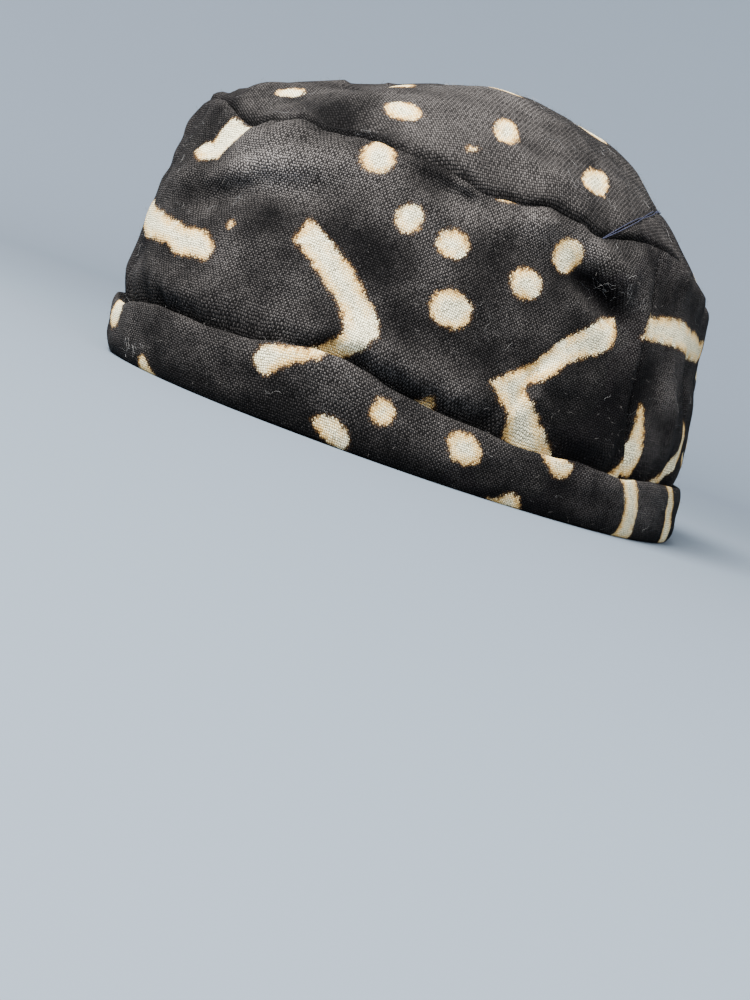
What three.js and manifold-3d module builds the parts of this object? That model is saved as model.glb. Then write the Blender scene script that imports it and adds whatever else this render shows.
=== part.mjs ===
// Kufi of mud cloth: a domed crown in two strips, a side band and a turned-up hem.
// Millimetres, +Z up. The origin is under the middle of the hat's outline, on the surface
// that the rim rests on. The front of the hat looks along -Y, the wearer's left is +X.
import * as THREE from 'three';
import Module from 'manifold-3d';
import { mergeVertices } from 'three/addons/utils/BufferGeometryUtils.js';

// Driving sizes
const HEAD_LENGTH = 223; // head opening, front to back
const HEAD_WIDTH = 181; // head opening, side to side
const HEM_HEIGHT = 20.4; // rim to the stitched groove, as a mean of the stations
const HEM_LEAN_LEFT = 1; // how far the rim sits to the wearer's left of the groove
const HEM_LEAN_BACK = 3.5; // how far the rim sits behind the groove
const HEM_THICKNESS = 5.6; // cloth turned up double and left puffy
const HEM_SOLE = 3.4; // flat edge that the hat rests on
const HEM_TUCK = 0.8; // how far the hem's edges are drawn in from the opening
const GROOVE_DEPTH = 2.6; // how far the stitching pulls the cloth back from the hem's face
const CLOTH = 1.9; // thickness of the side band and crown cloth
const SEAM_HEIGHT = 86; // rim to the crown seam, as a mean of the stations
const CROWN_HEIGHT = 129.3; // rim to the top of the crown
const CROWN_PEAK_LEFT = 2; // top of the crown off the opening's middle, to the left
const CROWN_PEAK_BACK = 22; // top of the crown off the opening's middle, to the back
const BLOUSE = 4; // how far the side band stands out between groove and seam
const FOLD_DEPTH = 4; // depth of the deepest kind of fold
const STRIP_SEAM_OUT = 46; // top of the crown to the strip seam's plane, square to the plane
const STRIP_SEAM_TURN = 40; // degrees that the strip seam turns in from front-to-back
const STRIP_SEAM_LEAN = 42; // degrees that its plane leans over, square to the cloth
const SIDE_SEAM_ANGLE = 356; // degrees round to the side band's own seam
const STRIP_BLOCK = 450; // edge of the block that parts the crown from its strip
const JOINT_GAP = 0.3; // clearance between neighbouring pieces

// How finely the cloth is divided
const STEPS_AROUND = 72;
const STEPS_UP_BAND = 12;
const STEPS_OVER_CROWN = 9;

const COLOURS = { crown: 0x4a4542, band: 0x2b2829, hem: 0x262425 };
const CLOTH_ROUGHNESS = 0.95;

// Hem section's corners in order round it.
// outwards: distance out from the head opening's oval
// share: of the way up from the rim to the groove
const HEM_SECTION = [
  { outwards: HEM_TUCK, share: 0 },
  { outwards: HEM_TUCK + HEM_SOLE, share: 0 },
  { outwards: HEM_THICKNESS - 0.4, share: 0.13 },
  { outwards: HEM_THICKNESS, share: 0.4 },
  { outwards: HEM_THICKNESS, share: 0.62 },
  { outwards: HEM_THICKNESS - 0.55, share: 0.85 },
  { outwards: HEM_THICKNESS - GROOVE_DEPTH, share: 1 },
  { outwards: HEM_TUCK, share: 1 },
  { outwards: 0, share: 0.8 },
  { outwards: 0, share: 0.2 },
];

// Sections of the hat, one row each 30 degrees round from the wearer's left to the back.
// hem: height of the stitched groove, as a share of HEM_HEIGHT
// reach: crown seam's distance out, as a share of the opening's
// seamHeight: as a share of SEAM_HEIGHT; blouse: as a share of BLOUSE
// fullness: 1 is a wave's slope from the seam to the top, 2 is close to a quarter circle
const STATIONS = [
  { degrees: 0, hem: 0.97, reach: 0.87, seamHeight: 1.04, blouse: 0.73, fullness: 1.1 },
  { degrees: 30, hem: 1.0, reach: 0.86, seamHeight: 0.99, blouse: 0.58, fullness: 1.1 },
  { degrees: 60, hem: 1.0, reach: 0.905, seamHeight: 0.982, blouse: 1.03, fullness: 1.17 },
  { degrees: 90, hem: 1.0, reach: 0.88, seamHeight: 0.986, blouse: 1.17, fullness: 1.24 },
  { degrees: 120, hem: 1.0, reach: 0.855, seamHeight: 0.992, blouse: 1.15, fullness: 1.26 },
  { degrees: 150, hem: 0.99, reach: 0.85, seamHeight: 1.0, blouse: 1.04, fullness: 1.26 },
  { degrees: 180, hem: 0.965, reach: 0.87, seamHeight: 1.004, blouse: 0.95, fullness: 1.27 },
  { degrees: 210, hem: 0.94, reach: 0.93, seamHeight: 0.998, blouse: 0.86, fullness: 1.27 },
  { degrees: 240, hem: 0.93, reach: 0.985, seamHeight: 0.992, blouse: 0.78, fullness: 1.2 },
  { degrees: 270, hem: 1.02, reach: 0.96, seamHeight: 0.97, blouse: 0.89, fullness: 1.23 },
  { degrees: 300, hem: 1.185, reach: 0.945, seamHeight: 0.988, blouse: 0.95, fullness: 1.43 },
  { degrees: 330, hem: 0.96, reach: 0.9, seamHeight: 0.978, blouse: 0.9, fullness: 1.34 },
];

// Folds and dents of the side band.
// degrees: round to the middle of the fold; up: share of the way from groove to seam
// length, width: half sizes as shares of SEAM_HEIGHT; slant: degrees, rising to the right
// depth: share of FOLD_DEPTH, out of the hat where positive
const BAND_FOLDS = [
  { degrees: 279, up: 0.88, length: 0.22, width: 0.07, slant: 2, depth: 0.5 },
  { degrees: 275, up: 0.74, length: 0.24, width: 0.045, slant: 10, depth: 0.3 },
  { degrees: 272, up: 0.62, length: 0.26, width: 0.06, slant: 10, depth: -0.5 },
  { degrees: 311, up: 0.9, length: 0.14, width: 0.06, slant: -4, depth: -0.5 },
  { degrees: 326, up: 0.93, length: 0.12, width: 0.05, slant: -2, depth: 0.3 },
  { degrees: 341, up: 0.72, length: 0.16, width: 0.07, slant: -30, depth: -1.15 },
  { degrees: 347, up: 0.88, length: 0.12, width: 0.09, slant: -20, depth: 0.7 },
  { degrees: 334, up: 0.3, length: 0.12, width: 0.05, slant: 60, depth: -0.3 },
  { degrees: 312, up: 0.1, length: 0.32, width: 0.07, slant: -2, depth: 0.6 },
  { degrees: 268, up: 0.09, length: 0.26, width: 0.06, slant: 0, depth: 0.35 },
  { degrees: 347, up: 0.12, length: 0.12, width: 0.07, slant: 6, depth: 0.45 },
  { degrees: 21, up: 0.56, length: 0.14, width: 0.07, slant: 4, depth: -0.6 },
  { degrees: 52, up: 0.82, length: 0.18, width: 0.07, slant: 18, depth: -0.55 },
  { degrees: 78, up: 0.14, length: 0.26, width: 0.06, slant: 0, depth: 0.4 },
  { degrees: 104, up: 0.6, length: 0.2, width: 0.07, slant: -24, depth: -0.6 },
  { degrees: 126, up: 0.84, length: 0.16, width: 0.07, slant: 10, depth: 0.5 },
  { degrees: 158, up: 0.3, length: 0.18, width: 0.06, slant: 35, depth: -0.4 },
  { degrees: 186, up: 0.76, length: 0.2, width: 0.07, slant: 14, depth: -0.7 },
  { degrees: 203, up: 0.12, length: 0.3, width: 0.06, slant: 0, depth: 0.45 },
  { degrees: 226, up: 0.55, length: 0.18, width: 0.07, slant: -22, depth: -0.5 },
];

// Folds and dents of the crown.
// out: 1 at the crown seam, 0 at the top; the other columns as above
const CROWN_FOLDS = [
  { degrees: 286, out: 0.93, length: 0.16, width: 0.07, slant: 0, depth: -0.8 },
  { degrees: 268, out: 0.82, length: 0.16, width: 0.1, slant: 0, depth: 0.35 },
  { degrees: 318, out: 0.9, length: 0.2, width: 0.07, slant: 0, depth: 0.3 },
  { degrees: 352, out: 0.86, length: 0.14, width: 0.08, slant: 10, depth: -0.35 },
  { degrees: 62, out: 0.8, length: 0.2, width: 0.08, slant: 12, depth: -0.6 },
  { degrees: 112, out: 0.7, length: 0.24, width: 0.09, slant: -10, depth: -0.5 },
  { degrees: 172, out: 0.86, length: 0.2, width: 0.08, slant: 0, depth: -0.6 },
  { degrees: 222, out: 0.84, length: 0.18, width: 0.08, slant: 8, depth: -0.5 },
];

const BLOUSE_ROUNDNESS = 0.8; // power of the side band's arch, flatter where it is less than 1
const CROWN_SLOPE_AT_SEAM = 35; // degrees from upright, for the crown's inner face
// Folds fade out over these shares of the side band and of the crown, next to their seams
const FADE_AT_GROOVE = 0.08;
const FADE_UNDER_CROWN_SEAM = 0.06;
const FADE_OVER_CROWN_SEAM = 0.04;
const SAME_POINT = 1e-4; // corners of a body closer than this are one

const TURN = 2 * Math.PI;
const toRadians = THREE.MathUtils.degToRad;

/** Smooth value of a station column at an angle, through the rows in a closed round. */
function aroundHat(column, angle) {
  const count = STATIONS.length;
  const place = ((angle / TURN) * count + count) % count;
  const row = Math.floor(place);
  const t = place - row;
  const value = (step) => STATIONS[(row + step + count) % count][column];
  const [a, b, c, d] = [value(-1), value(0), value(1), value(2)];
  return b + 0.5 * t * (c - a + t * (2 * a - 5 * b + 4 * c - d + t * (3 * (b - c) + d - a)));
}

/** Point of the head opening's oval, pushed outwards by a distance, at a height. */
function ovalPoint(angle, outwards, height) {
  const lean = 0.5 - Math.min(1, height / HEM_HEIGHT);
  const point = new THREE.Vector3(
    (HEAD_WIDTH / 2) * Math.cos(angle) + lean * HEM_LEAN_LEFT,
    (HEAD_LENGTH / 2) * Math.sin(angle) + lean * HEM_LEAN_BACK,
    height,
  );
  return point.addScaledVector(ovalNormal(angle), outwards);
}

/** Height of the stitched groove between hem and side band. */
function grooveHeight(angle) {
  return aroundHat('hem', angle) * HEM_HEIGHT;
}

/** Level direction straight out of the oval at an angle. */
function ovalNormal(angle) {
  return new THREE.Vector3(
    HEAD_LENGTH * Math.cos(angle),
    HEAD_WIDTH * Math.sin(angle),
    0,
  ).normalize();
}

/** Height of a soft bump, given how far off its middle a point lies along and across it. */
function bump(fold, along, across) {
  const slant = toRadians(fold.slant);
  const u = (along * Math.cos(slant) + across * Math.sin(slant)) / (fold.length * SEAM_HEIGHT);
  const v = (across * Math.cos(slant) - along * Math.sin(slant)) / (fold.width * SEAM_HEIGHT);
  return fold.depth * FOLD_DEPTH * Math.exp(-(u * u + v * v));
}

/** Signed way round the hat from one angle to another, along the opening's mean radius. */
function wayRound(angle, degrees) {
  const turn = ((angle - toRadians(degrees) + 3 * Math.PI) % TURN) - Math.PI;
  return (turn * (HEAD_LENGTH + HEAD_WIDTH)) / 4;
}

/** Outer face of the side band: share 0 is the groove and 1 is the crown seam. */
function bandPoint(angle, share) {
  const outwards = HEM_THICKNESS - GROOVE_DEPTH;
  const foot = ovalPoint(angle, outwards, HEM_HEIGHT).setZ(grooveHeight(angle));
  const reach = aroundHat('reach', angle);
  const head = new THREE.Vector3(
    (reach * HEAD_WIDTH * Math.cos(angle)) / 2,
    (reach * HEAD_LENGTH * Math.sin(angle)) / 2,
    aroundHat('seamHeight', angle) * SEAM_HEIGHT,
  );
  const rise = head.z - foot.z;
  const arch = Math.pow(Math.sin(Math.PI * share), BLOUSE_ROUNDNESS);
  let swell = aroundHat('blouse', angle) * BLOUSE * arch;
  const heldAtEnds = Math.min(1, share / FADE_AT_GROOVE, (1 - share) / FADE_UNDER_CROWN_SEAM);
  for (const fold of BAND_FOLDS) {
    const across = (share - fold.up) * rise;
    swell += bump(fold, wayRound(angle, fold.degrees), across) * heldAtEnds;
  }
  return foot.lerp(head, share).addScaledVector(ovalNormal(angle), swell);
}

/** Outer face of the crown: out 1 is the crown seam and 0 is the top. */
function crownPoint(angle, out) {
  const edge = bandPoint(angle, 1);
  const fullness = aroundHat('fullness', angle);
  const rise = Math.pow(Math.cos((Math.PI / 2) * out), 1 / fullness);
  const point = new THREE.Vector3(
    THREE.MathUtils.lerp(CROWN_PEAK_LEFT, edge.x, out),
    THREE.MathUtils.lerp(CROWN_PEAK_BACK, edge.y, out),
    THREE.MathUtils.lerp(edge.z + JOINT_GAP, CROWN_HEIGHT, rise),
  );
  const heldAtEdge = Math.min(1, (1 - out) / FADE_OVER_CROWN_SEAM);
  const outwards = ovalNormal(angle).setZ(1).normalize();
  for (const fold of CROWN_FOLDS) {
    const across = ((fold.out - out) * (HEAD_LENGTH + HEAD_WIDTH)) / 4;
    const along = wayRound(angle, fold.degrees) * out;
    point.addScaledVector(outwards, bump(fold, along, across) * heldAtEdge);
  }
  return point;
}

/** Closed body from rings of points; each ring closes on itself, and so do the rings. */
function torusBody(rings) {
  const around = rings[0].length;
  const positions = rings.flat().flatMap((point) => [point.x, point.y, point.z]);
  const index = [];
  for (let ring = 0; ring < rings.length; ring += 1) {
    const next = (ring + 1) % rings.length;
    for (let step = 0; step < around; step += 1) {
      const after = (step + 1) % around;
      const [a, b] = [ring * around + step, ring * around + after];
      const [c, d] = [next * around + step, next * around + after];
      index.push(a, b, d, a, d, c);
    }
  }
  return indexedGeometry(positions, index);
}

/** Closed body from columns of points, open at both ends and capped there. */
function cappedBody(columns) {
  const count = columns[0].length;
  const positions = columns.flat().flatMap((point) => [point.x, point.y, point.z]);
  const index = [];
  for (let column = 0; column + 1 < columns.length; column += 1) {
    for (let step = 0; step < count; step += 1) {
      const after = (step + 1) % count;
      const [a, b] = [column * count + step, column * count + after];
      const [c, d] = [a + count, b + count];
      index.push(a, c, d, a, d, b);
    }
  }
  const last = (columns.length - 1) * count;
  for (let step = 0; 2 * step + 2 < count; step += 1) {
    const [a, b] = [step, step + 1];
    const [c, d] = [count - 1 - step, count - 2 - step];
    index.push(a, b, c);
    index.push(last + a, last + c, last + b);
    if (b !== d) {
      index.push(b, d, c);
      index.push(last + b, last + c, last + d);
    }
  }
  return indexedGeometry(positions, index);
}

/** Geometry from a flat list of coordinates and a list of triangle corners. */
function indexedGeometry(positions, index) {
  const geometry = new THREE.BufferGeometry();
  geometry.setAttribute('position', new THREE.Float32BufferAttribute(positions, 3));
  geometry.setIndex(index);
  geometry.computeVertexNormals();
  return geometry;
}

/** Angles of one full round. */
function fullRound() {
  return Array.from({ length: STEPS_AROUND }, (_, step) => (TURN * step) / STEPS_AROUND);
}

/** Hem: the cloth turned up double, flat where it rests and puffy outside. */
function hemBody() {
  const rings = HEM_SECTION.map(({ outwards, share }) =>
    fullRound().map((angle) => {
      const height = share * (grooveHeight(angle) - JOINT_GAP);
      return ovalPoint(angle, outwards, share * HEM_HEIGHT).setZ(height);
    }),
  );
  return torusBody(rings);
}

/** Side band: one long cloth whose ends meet at the side seam. */
function bandBody() {
  const halfGap = (JOINT_GAP / (HEAD_LENGTH + HEAD_WIDTH)) * 2;
  const start = toRadians(SIDE_SEAM_ANGLE) + halfGap;
  const sweep = TURN - 2 * halfGap;
  const columns = [];
  for (let step = 0; step <= STEPS_AROUND; step += 1) {
    const angle = start + (sweep * step) / STEPS_AROUND;
    const inwards = ovalNormal(angle).multiplyScalar(-CLOTH);
    const outer = [];
    for (let up = 0; up <= STEPS_UP_BAND; up += 1) {
      outer.push(bandPoint(angle, up / STEPS_UP_BAND));
    }
    const inner = outer.map((point) => point.clone().add(inwards)).reverse();
    columns.push([...outer, ...inner]);
  }
  return cappedBody(columns);
}

/** Crown: a dome of cloth from the crown seam up. */
function crownBody() {
  const rows = [];
  for (let over = 0; over < STEPS_OVER_CROWN; over += 1) {
    rows.push(Math.cos((Math.PI / 2) * (over / STEPS_OVER_CROWN)));
  }
  const outer = rows.map((out) => fullRound().map((angle) => crownPoint(angle, out)));
  const inner = outer.map((ring, over) => {
    const turn = (Math.PI / 2) * (over / STEPS_OVER_CROWN);
    const level = over === 0 ? 1 : Math.sin(toRadians(CROWN_SLOPE_AT_SEAM)) * Math.cos(turn);
    const drop = Math.sqrt(1 - level * level);
    return ring.map((point, step) => {
      const angle = (TURN * step) / STEPS_AROUND;
      const inwards = ovalNormal(angle).multiplyScalar(-level).setZ(-drop);
      return point.clone().addScaledVector(inwards, CLOTH);
    });
  });
  const peak = new THREE.Vector3(CROWN_PEAK_LEFT, CROWN_PEAK_BACK, CROWN_HEIGHT);
  const under = peak.clone().setZ(CROWN_HEIGHT - CLOTH);
  return domeBody(outer, inner, peak, under);
}

/** Closed dome from outer and inner rings and their two middle points. */
function domeBody(outer, inner, peak, under) {
  const around = STEPS_AROUND;
  const rings = [...[...inner].reverse(), ...outer];
  const positions = [...rings.flat(), under, peak].flatMap((p) => [p.x, p.y, p.z]);
  const underIndex = rings.length * around;
  const peakIndex = underIndex + 1;
  const index = [];
  for (let step = 0; step < around; step += 1) {
    const after = (step + 1) % around;
    for (let ring = 0; ring + 1 < rings.length; ring += 1) {
      const [a, b] = [ring * around + step, ring * around + after];
      index.push(a, b, b + around, a, b + around, a + around);
    }
    const last = (rings.length - 1) * around;
    index.push(last + step, last + after, peakIndex);
    index.push(after, step, underIndex);
  }
  return indexedGeometry(positions, index);
}

const wasm = await Module();
wasm.setup();

/** Geometry as a solid that can be cut. */
function toSolid(geometry) {
  const bare = geometry.clone();
  bare.deleteAttribute('normal');
  bare.deleteAttribute('uv');
  const merged = mergeVertices(bare, SAME_POINT);
  return new wasm.Manifold(
    new wasm.Mesh({
      numProp: 3,
      vertProperties: new Float32Array(merged.attributes.position.array),
      triVerts: new Uint32Array(merged.index.array),
    }),
  );
}

/** Solid as geometry that a mesh can hold. */
function toGeometry(solid) {
  const mesh = solid.getMesh();
  return indexedGeometry(Array.from(mesh.vertProperties), Array.from(mesh.triVerts));
}

/** Block that covers the crown on one side of the strip seam. */
function strippingBlock(side) {
  const block = new THREE.BoxGeometry(STRIP_BLOCK, STRIP_BLOCK, STRIP_BLOCK);
  block.translate(STRIP_SEAM_OUT + (side * (STRIP_BLOCK + JOINT_GAP)) / 2, 0, 0);
  block.rotateY(toRadians(STRIP_SEAM_LEAN));
  block.rotateZ(toRadians(STRIP_SEAM_TURN));
  block.translate(CROWN_PEAK_LEFT, CROWN_PEAK_BACK, CROWN_HEIGHT);
  return toSolid(block);
}

/** Named mesh with a cloth material of its own. */
function piece(name, geometry, colour) {
  const material = new THREE.MeshStandardMaterial({
    color: colour,
    roughness: CLOTH_ROUGHNESS,
    metalness: 0,
  });
  const mesh = new THREE.Mesh(geometry, material);
  mesh.name = name;
  return mesh;
}

const crown = toSolid(crownBody());
const kufi = new THREE.Group();
kufi.name = 'kufi';
kufi.add(
  piece('hem_band', hemBody(), COLOURS.hem),
  piece('side_band', bandBody(), COLOURS.band),
  piece('crown_panel', toGeometry(crown.intersect(strippingBlock(-1))), COLOURS.crown),
  piece('crown_edge_strip', toGeometry(crown.intersect(strippingBlock(1))), COLOURS.crown),
);

const outline = new THREE.Box3().setFromObject(kufi);
const middle = outline.getCenter(new THREE.Vector3());
kufi.position.set(-middle.x, -middle.y, -outline.min.z);

export default kufi;
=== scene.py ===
"""Looks of a soft round cap of mud-dyed cotton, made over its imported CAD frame.

Lengths are in millimetres until a mesh is made, which is in metres. The wearer's left is +X, the
back is +Y, and angles turn from the left towards the back. A place on the wall or the hem is
written as (round, up): millimetres round the opening from the middle of the front, positive to
the wearer's left, and millimetres above the rim.
"""
import logging
import math
from dataclasses import dataclass, replace
from enum import Enum

import bmesh
import bpy
import numpy as np
from mathutils import Matrix, Vector


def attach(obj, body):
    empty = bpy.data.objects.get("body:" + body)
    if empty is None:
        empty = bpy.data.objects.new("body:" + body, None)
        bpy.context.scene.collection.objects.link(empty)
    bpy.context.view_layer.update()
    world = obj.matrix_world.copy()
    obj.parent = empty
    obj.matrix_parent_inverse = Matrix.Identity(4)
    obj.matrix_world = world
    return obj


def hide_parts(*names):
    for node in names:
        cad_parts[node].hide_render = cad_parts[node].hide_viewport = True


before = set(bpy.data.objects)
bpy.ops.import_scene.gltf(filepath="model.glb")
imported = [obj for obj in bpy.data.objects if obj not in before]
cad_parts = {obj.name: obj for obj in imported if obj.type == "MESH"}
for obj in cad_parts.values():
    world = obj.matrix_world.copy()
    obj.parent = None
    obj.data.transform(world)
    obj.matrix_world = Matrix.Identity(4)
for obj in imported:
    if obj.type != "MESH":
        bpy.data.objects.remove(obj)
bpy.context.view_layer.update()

LOG = logging.getLogger("cap")
MM = 0.001
TURN = 2.0 * math.pi
Array = np.ndarray
Place = tuple[float, float]
Colour = tuple[float, float, float]
Socket = bpy.types.NodeSocket
NO_REPEAT = 2000.0
MEAN_RADIUS = 101.0
WAVE_FALL = 0.7
FARTHEST = 12.0
SMOOTH_BELOW = math.radians(55.0)


class Cloth(Enum):
    """The cloths that lint lies on, numbered in the order in which their grids are handed over."""

    WALL = 0
    CROWN = 1
    HEM = 2


def eased(share: Array) -> Array:
    """Return an S-shaped step from 0 to 1.

    Args:
        share: Values, which are held between 0 and 1.

    Returns:
        The eased values.
    """
    held = np.clip(share, 0.0, 1.0)
    return held * held * (3.0 - 2.0 * held)


def offset_from(place: Array, middle: float | Array, repeat: float) -> Array:
    """Return how far places lie past a middle, the short way round a length that repeats.

    Args:
        place: Places along the length.
        middle: Where to measure from.
        repeat: Length after which the places repeat, or NO_REPEAT.

    Returns:
        Offsets, at most half of the repeat either way.
    """
    return np.mod(place - middle + repeat / 2.0, repeat) - repeat / 2.0


def mean_first(path: tuple[Place, ...]) -> float:
    """Return the mean first coordinate of a path."""
    return sum(place[0] for place in path) / len(path)


def charted(rows: tuple[Place, ...], degrees: Array) -> Array:
    """Read a short chart that goes once round the cap.

    Args:
        rows: Angle in degrees and value, in the order of the angles.
        degrees: Angles to read at.

    Returns:
        The value at each angle, eased between the rows.
    """
    angles = np.array([row[0] for row in rows])
    values = np.array([row[1] for row in rows])
    start = angles[0]
    angles = np.append(angles, start + 360.0)
    values = np.append(values, values[0])
    place = np.mod(degrees - start, 360.0) + start
    after = np.clip(np.searchsorted(angles, place, side="right"), 1, len(angles) - 1)
    span = angles[after] - angles[after - 1]
    share = (place - angles[after - 1]) / span
    return values[after - 1] + (values[after] - values[after - 1]) * eased(share)


def ripples(angle: Array, up: Array, shortest: float, longest: float, seed: int, waves: int = 36) -> Array:
    """Add up waves that run every way over a cloth and close on themselves round the cap.

    Long waves weigh most, as they do in soft cloth.

    Args:
        angle: Angle of each place, in radians.
        up: Distance of each place across the cloth, in millimetres.
        shortest: Shortest wave, in millimetres.
        longest: Longest wave, in millimetres.
        seed: Seed of the waves' lengths and directions.
        waves: How many waves are added.

    Returns:
        A field with a spread of about 1.
    """
    chance = np.random.default_rng(seed)
    total = np.zeros(np.broadcast(angle, up).shape)
    power = 0.0
    for _ in range(waves):
        length = shortest * (longest / shortest) ** chance.random()
        way = chance.random() * math.pi
        turns = round(TURN * MEAN_RADIUS * math.cos(way) / length)
        climb = TURN * math.sin(way) / length
        weight = (length / longest) ** WAVE_FALL
        total += weight * np.cos(turns * angle + climb * up + chance.random() * TURN)
        power += 0.5 * weight * weight
    return total / math.sqrt(power)


def surface_normals(points: Array, wraps: bool) -> Array:
    """Measure the outward normals of a grid of points.

    Args:
        points: Grid of places, rows going up and columns going round.
        wraps: Whether the last column joins the first.

    Returns:
        Unit normals on the same grid.
    """
    if wraps:
        wide = np.concatenate([points[:, -1:], points, points[:, :1]], axis=1)
        round_step = np.gradient(wide, axis=1)[:, 1:-1]
    else:
        round_step = np.gradient(points, axis=1)
    up_step = np.gradient(points, axis=0)
    normal = np.cross(round_step, up_step)
    return normal / np.maximum(np.linalg.norm(normal, axis=2, keepdims=True), 1e-9)


@dataclass(frozen=True)
class CapForm:
    """Main form of the cap, with the sizes and stations of the part's source."""

    head_length: float = 223.0
    head_width: float = 181.0
    hem_height: float = 20.4
    hem_lean_left: float = 1.0
    hem_lean_back: float = 3.5
    hem_thickness: float = 5.6
    groove_depth: float = 2.6
    cloth: float = 1.9
    seam_height: float = 86.0
    crown_height: float = 129.3
    peak_left: float = 2.0
    peak_back: float = 22.0
    blouse: float = 4.0
    fold_depth: float = 4.0
    joint_gap: float = 0.3
    strip_turn: float = 40.0
    strip_lean: float = 42.0
    strip_out: float = 46.0
    hem_stations: tuple[float, ...] = (.97, 1., 1., 1., 1., .99, .965, .94, .93, 1.02, 1.185, .96)
    reach_stations: tuple[float, ...] = (.87, .86, .905, .88, .855, .85, .87, .93, .985, .96, .945, .9)
    seam_stations: tuple[float, ...] = (
        1.04, .99, .982, .986, .992, 1., 1.004, .998, .992, .97, .988, .978)
    blouse_stations: tuple[float, ...] = (.73, .58, 1.03, 1.17, 1.15, 1.04, .95, .86, .78, .89, .95, .9)
    fullness_stations: tuple[float, ...] = (
        1.1, 1.1, 1.17, 1.24, 1.26, 1.26, 1.27, 1.27, 1.2, 1.23, 1.43, 1.34)

    def around(self, stations: tuple[float, ...], angle: Array) -> Array:
        """Read a row of stations with a smooth closed curve.

        Args:
            stations: Values at equal angles round the cap.
            angle: Angles to read at, in radians.

        Returns:
            The value at each angle.
        """
        values = np.array(stations)
        count = len(values)
        place = np.mod(angle / TURN * count, count)
        first = np.floor(place).astype(int) % count
        share = place - np.floor(place)
        before = values[(first - 1) % count]
        near = values[first]
        far = values[(first + 1) % count]
        beyond = values[(first + 2) % count]
        bend = 2.0 * before - 5.0 * near + 4.0 * far - beyond
        swing = 3.0 * (near - far) + beyond - before
        return near + 0.5 * share * (far - before + share * (bend + share * swing))

    def outward(self, angle: Array) -> Array:
        """Return the level outward direction of the opening at an angle.

        Args:
            angle: Angles in radians.

        Returns:
            Unit directions, with a last axis of x, y and 0.
        """
        left = self.head_length * np.cos(angle)
        back = self.head_width * np.sin(angle)
        size = np.hypot(left, back)
        return np.stack([left / size, back / size, 0.0 * size], axis=-1)

    def opening(self, angle: Array, out: Array, up: Array) -> Array:
        """Place points by their distance out from the opening and up from the rim.

        Args:
            angle: Angles in radians.
            out: Distance outside the opening's line.
            up: Height above the rim.

        Returns:
            Places in millimetres.
        """
        lean = 0.5 - np.minimum(1.0, up / self.hem_height)
        left = self.head_width / 2.0 * np.cos(angle) + lean * self.hem_lean_left
        back = self.head_length / 2.0 * np.sin(angle) + lean * self.hem_lean_back
        flat = np.stack([left, back, 0.0 * left + up], axis=-1)
        return flat + self.outward(angle) * np.asarray(out)[..., None]

    def groove(self, angle: Array) -> Array:
        """Return the height of the groove above the hem."""
        return self.around(self.hem_stations, angle) * self.hem_height

    def seam(self, angle: Array) -> Array:
        """Return the places of the seam between the wall and the crown."""
        reach = self.around(self.reach_stations, angle)
        height = self.around(self.seam_stations, angle) * self.seam_height + seam_wander(angle)
        left = reach * self.head_width / 2.0 * np.cos(angle)
        back = reach * self.head_length / 2.0 * np.sin(angle)
        return np.stack([left, back, height], axis=-1)

    def wall(self, angle: Array, share: Array) -> Array:
        """Place points of the wall by their share of the way up from the groove.

        Args:
            angle: Angles in radians.
            share: 0 at the groove and 1 at the crown's seam.

        Returns:
            Places in millimetres.
        """
        groove = self.groove(angle)
        out = 0.0 * angle + self.hem_thickness - self.groove_depth
        foot = self.opening(angle, out, groove)
        full = self.opening(angle, out, 0.0 * angle + self.hem_height)
        foot[..., :2] = full[..., :2]
        head = self.seam(angle)
        swell = self.around(self.blouse_stations, angle) * self.blouse
        swell = swell * np.sin(math.pi * np.clip(share, 0.0, 1.0)) ** 0.8
        straight = foot + (head - foot) * share[..., None]
        return straight + self.outward(angle) * swell[..., None]

    def crown(self, angle: Array, out: Array) -> Array:
        """Place points of the crown by their share of the way out from its peak.

        Args:
            angle: Angles in radians.
            out: 0 at the peak and 1 at the seam.

        Returns:
            Places in millimetres.
        """
        edge = self.seam(angle)
        fullness = self.around(self.fullness_stations, angle)
        rise = np.cos(math.pi / 2.0 * np.clip(out, 0.0, 1.0)) ** (1.0 / fullness)
        left = self.peak_left + (edge[..., 0] - self.peak_left) * out
        back = self.peak_back + (edge[..., 1] - self.peak_back) * out
        foot = edge[..., 2] + self.joint_gap
        return np.stack([left, back, foot + (self.crown_height - foot) * rise], axis=-1)

    def peak(self) -> Array:
        """Return the top of the crown."""
        return np.array([self.peak_left, self.peak_back, self.crown_height])

    def strip_way(self) -> Array:
        """Return the direction square to the strip's seam, out towards the strip."""
        turn, lean = math.radians(self.strip_turn), math.radians(self.strip_lean)
        return np.array([math.cos(turn) * math.cos(lean), math.sin(turn) * math.cos(lean), -math.sin(lean)])

    def past_strip_seam(self, points: Array) -> Array:
        """Return how far places lie past the strip's seam, negative on the main piece."""
        return (points - self.peak()) @ self.strip_way() - self.strip_out

    def round_from_front(self, angle: Array) -> Array:
        """Return millimetres round the opening's line from the middle of the front.

        Args:
            angle: Angles in radians.

        Returns:
            Lengths, positive to the wearer's left and not wrapped past the back.
        """
        fine = np.linspace(0.0, TURN, 7201)
        left = self.head_width / 2.0 * np.cos(fine)
        back = self.head_length / 2.0 * np.sin(fine)
        length = np.append(0.0, np.cumsum(np.hypot(np.diff(left), np.diff(back))))
        front = np.interp(1.5 * math.pi, fine, length)
        turns = np.floor(angle / TURN)
        return np.interp(angle - turns * TURN, fine, length) + (turns * length[-1]) - front

    def length_round(self) -> float:
        """Return the length once round the opening's line."""
        start, end = self.round_from_front(np.array([0.0, TURN]))
        return float(end - start)


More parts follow.
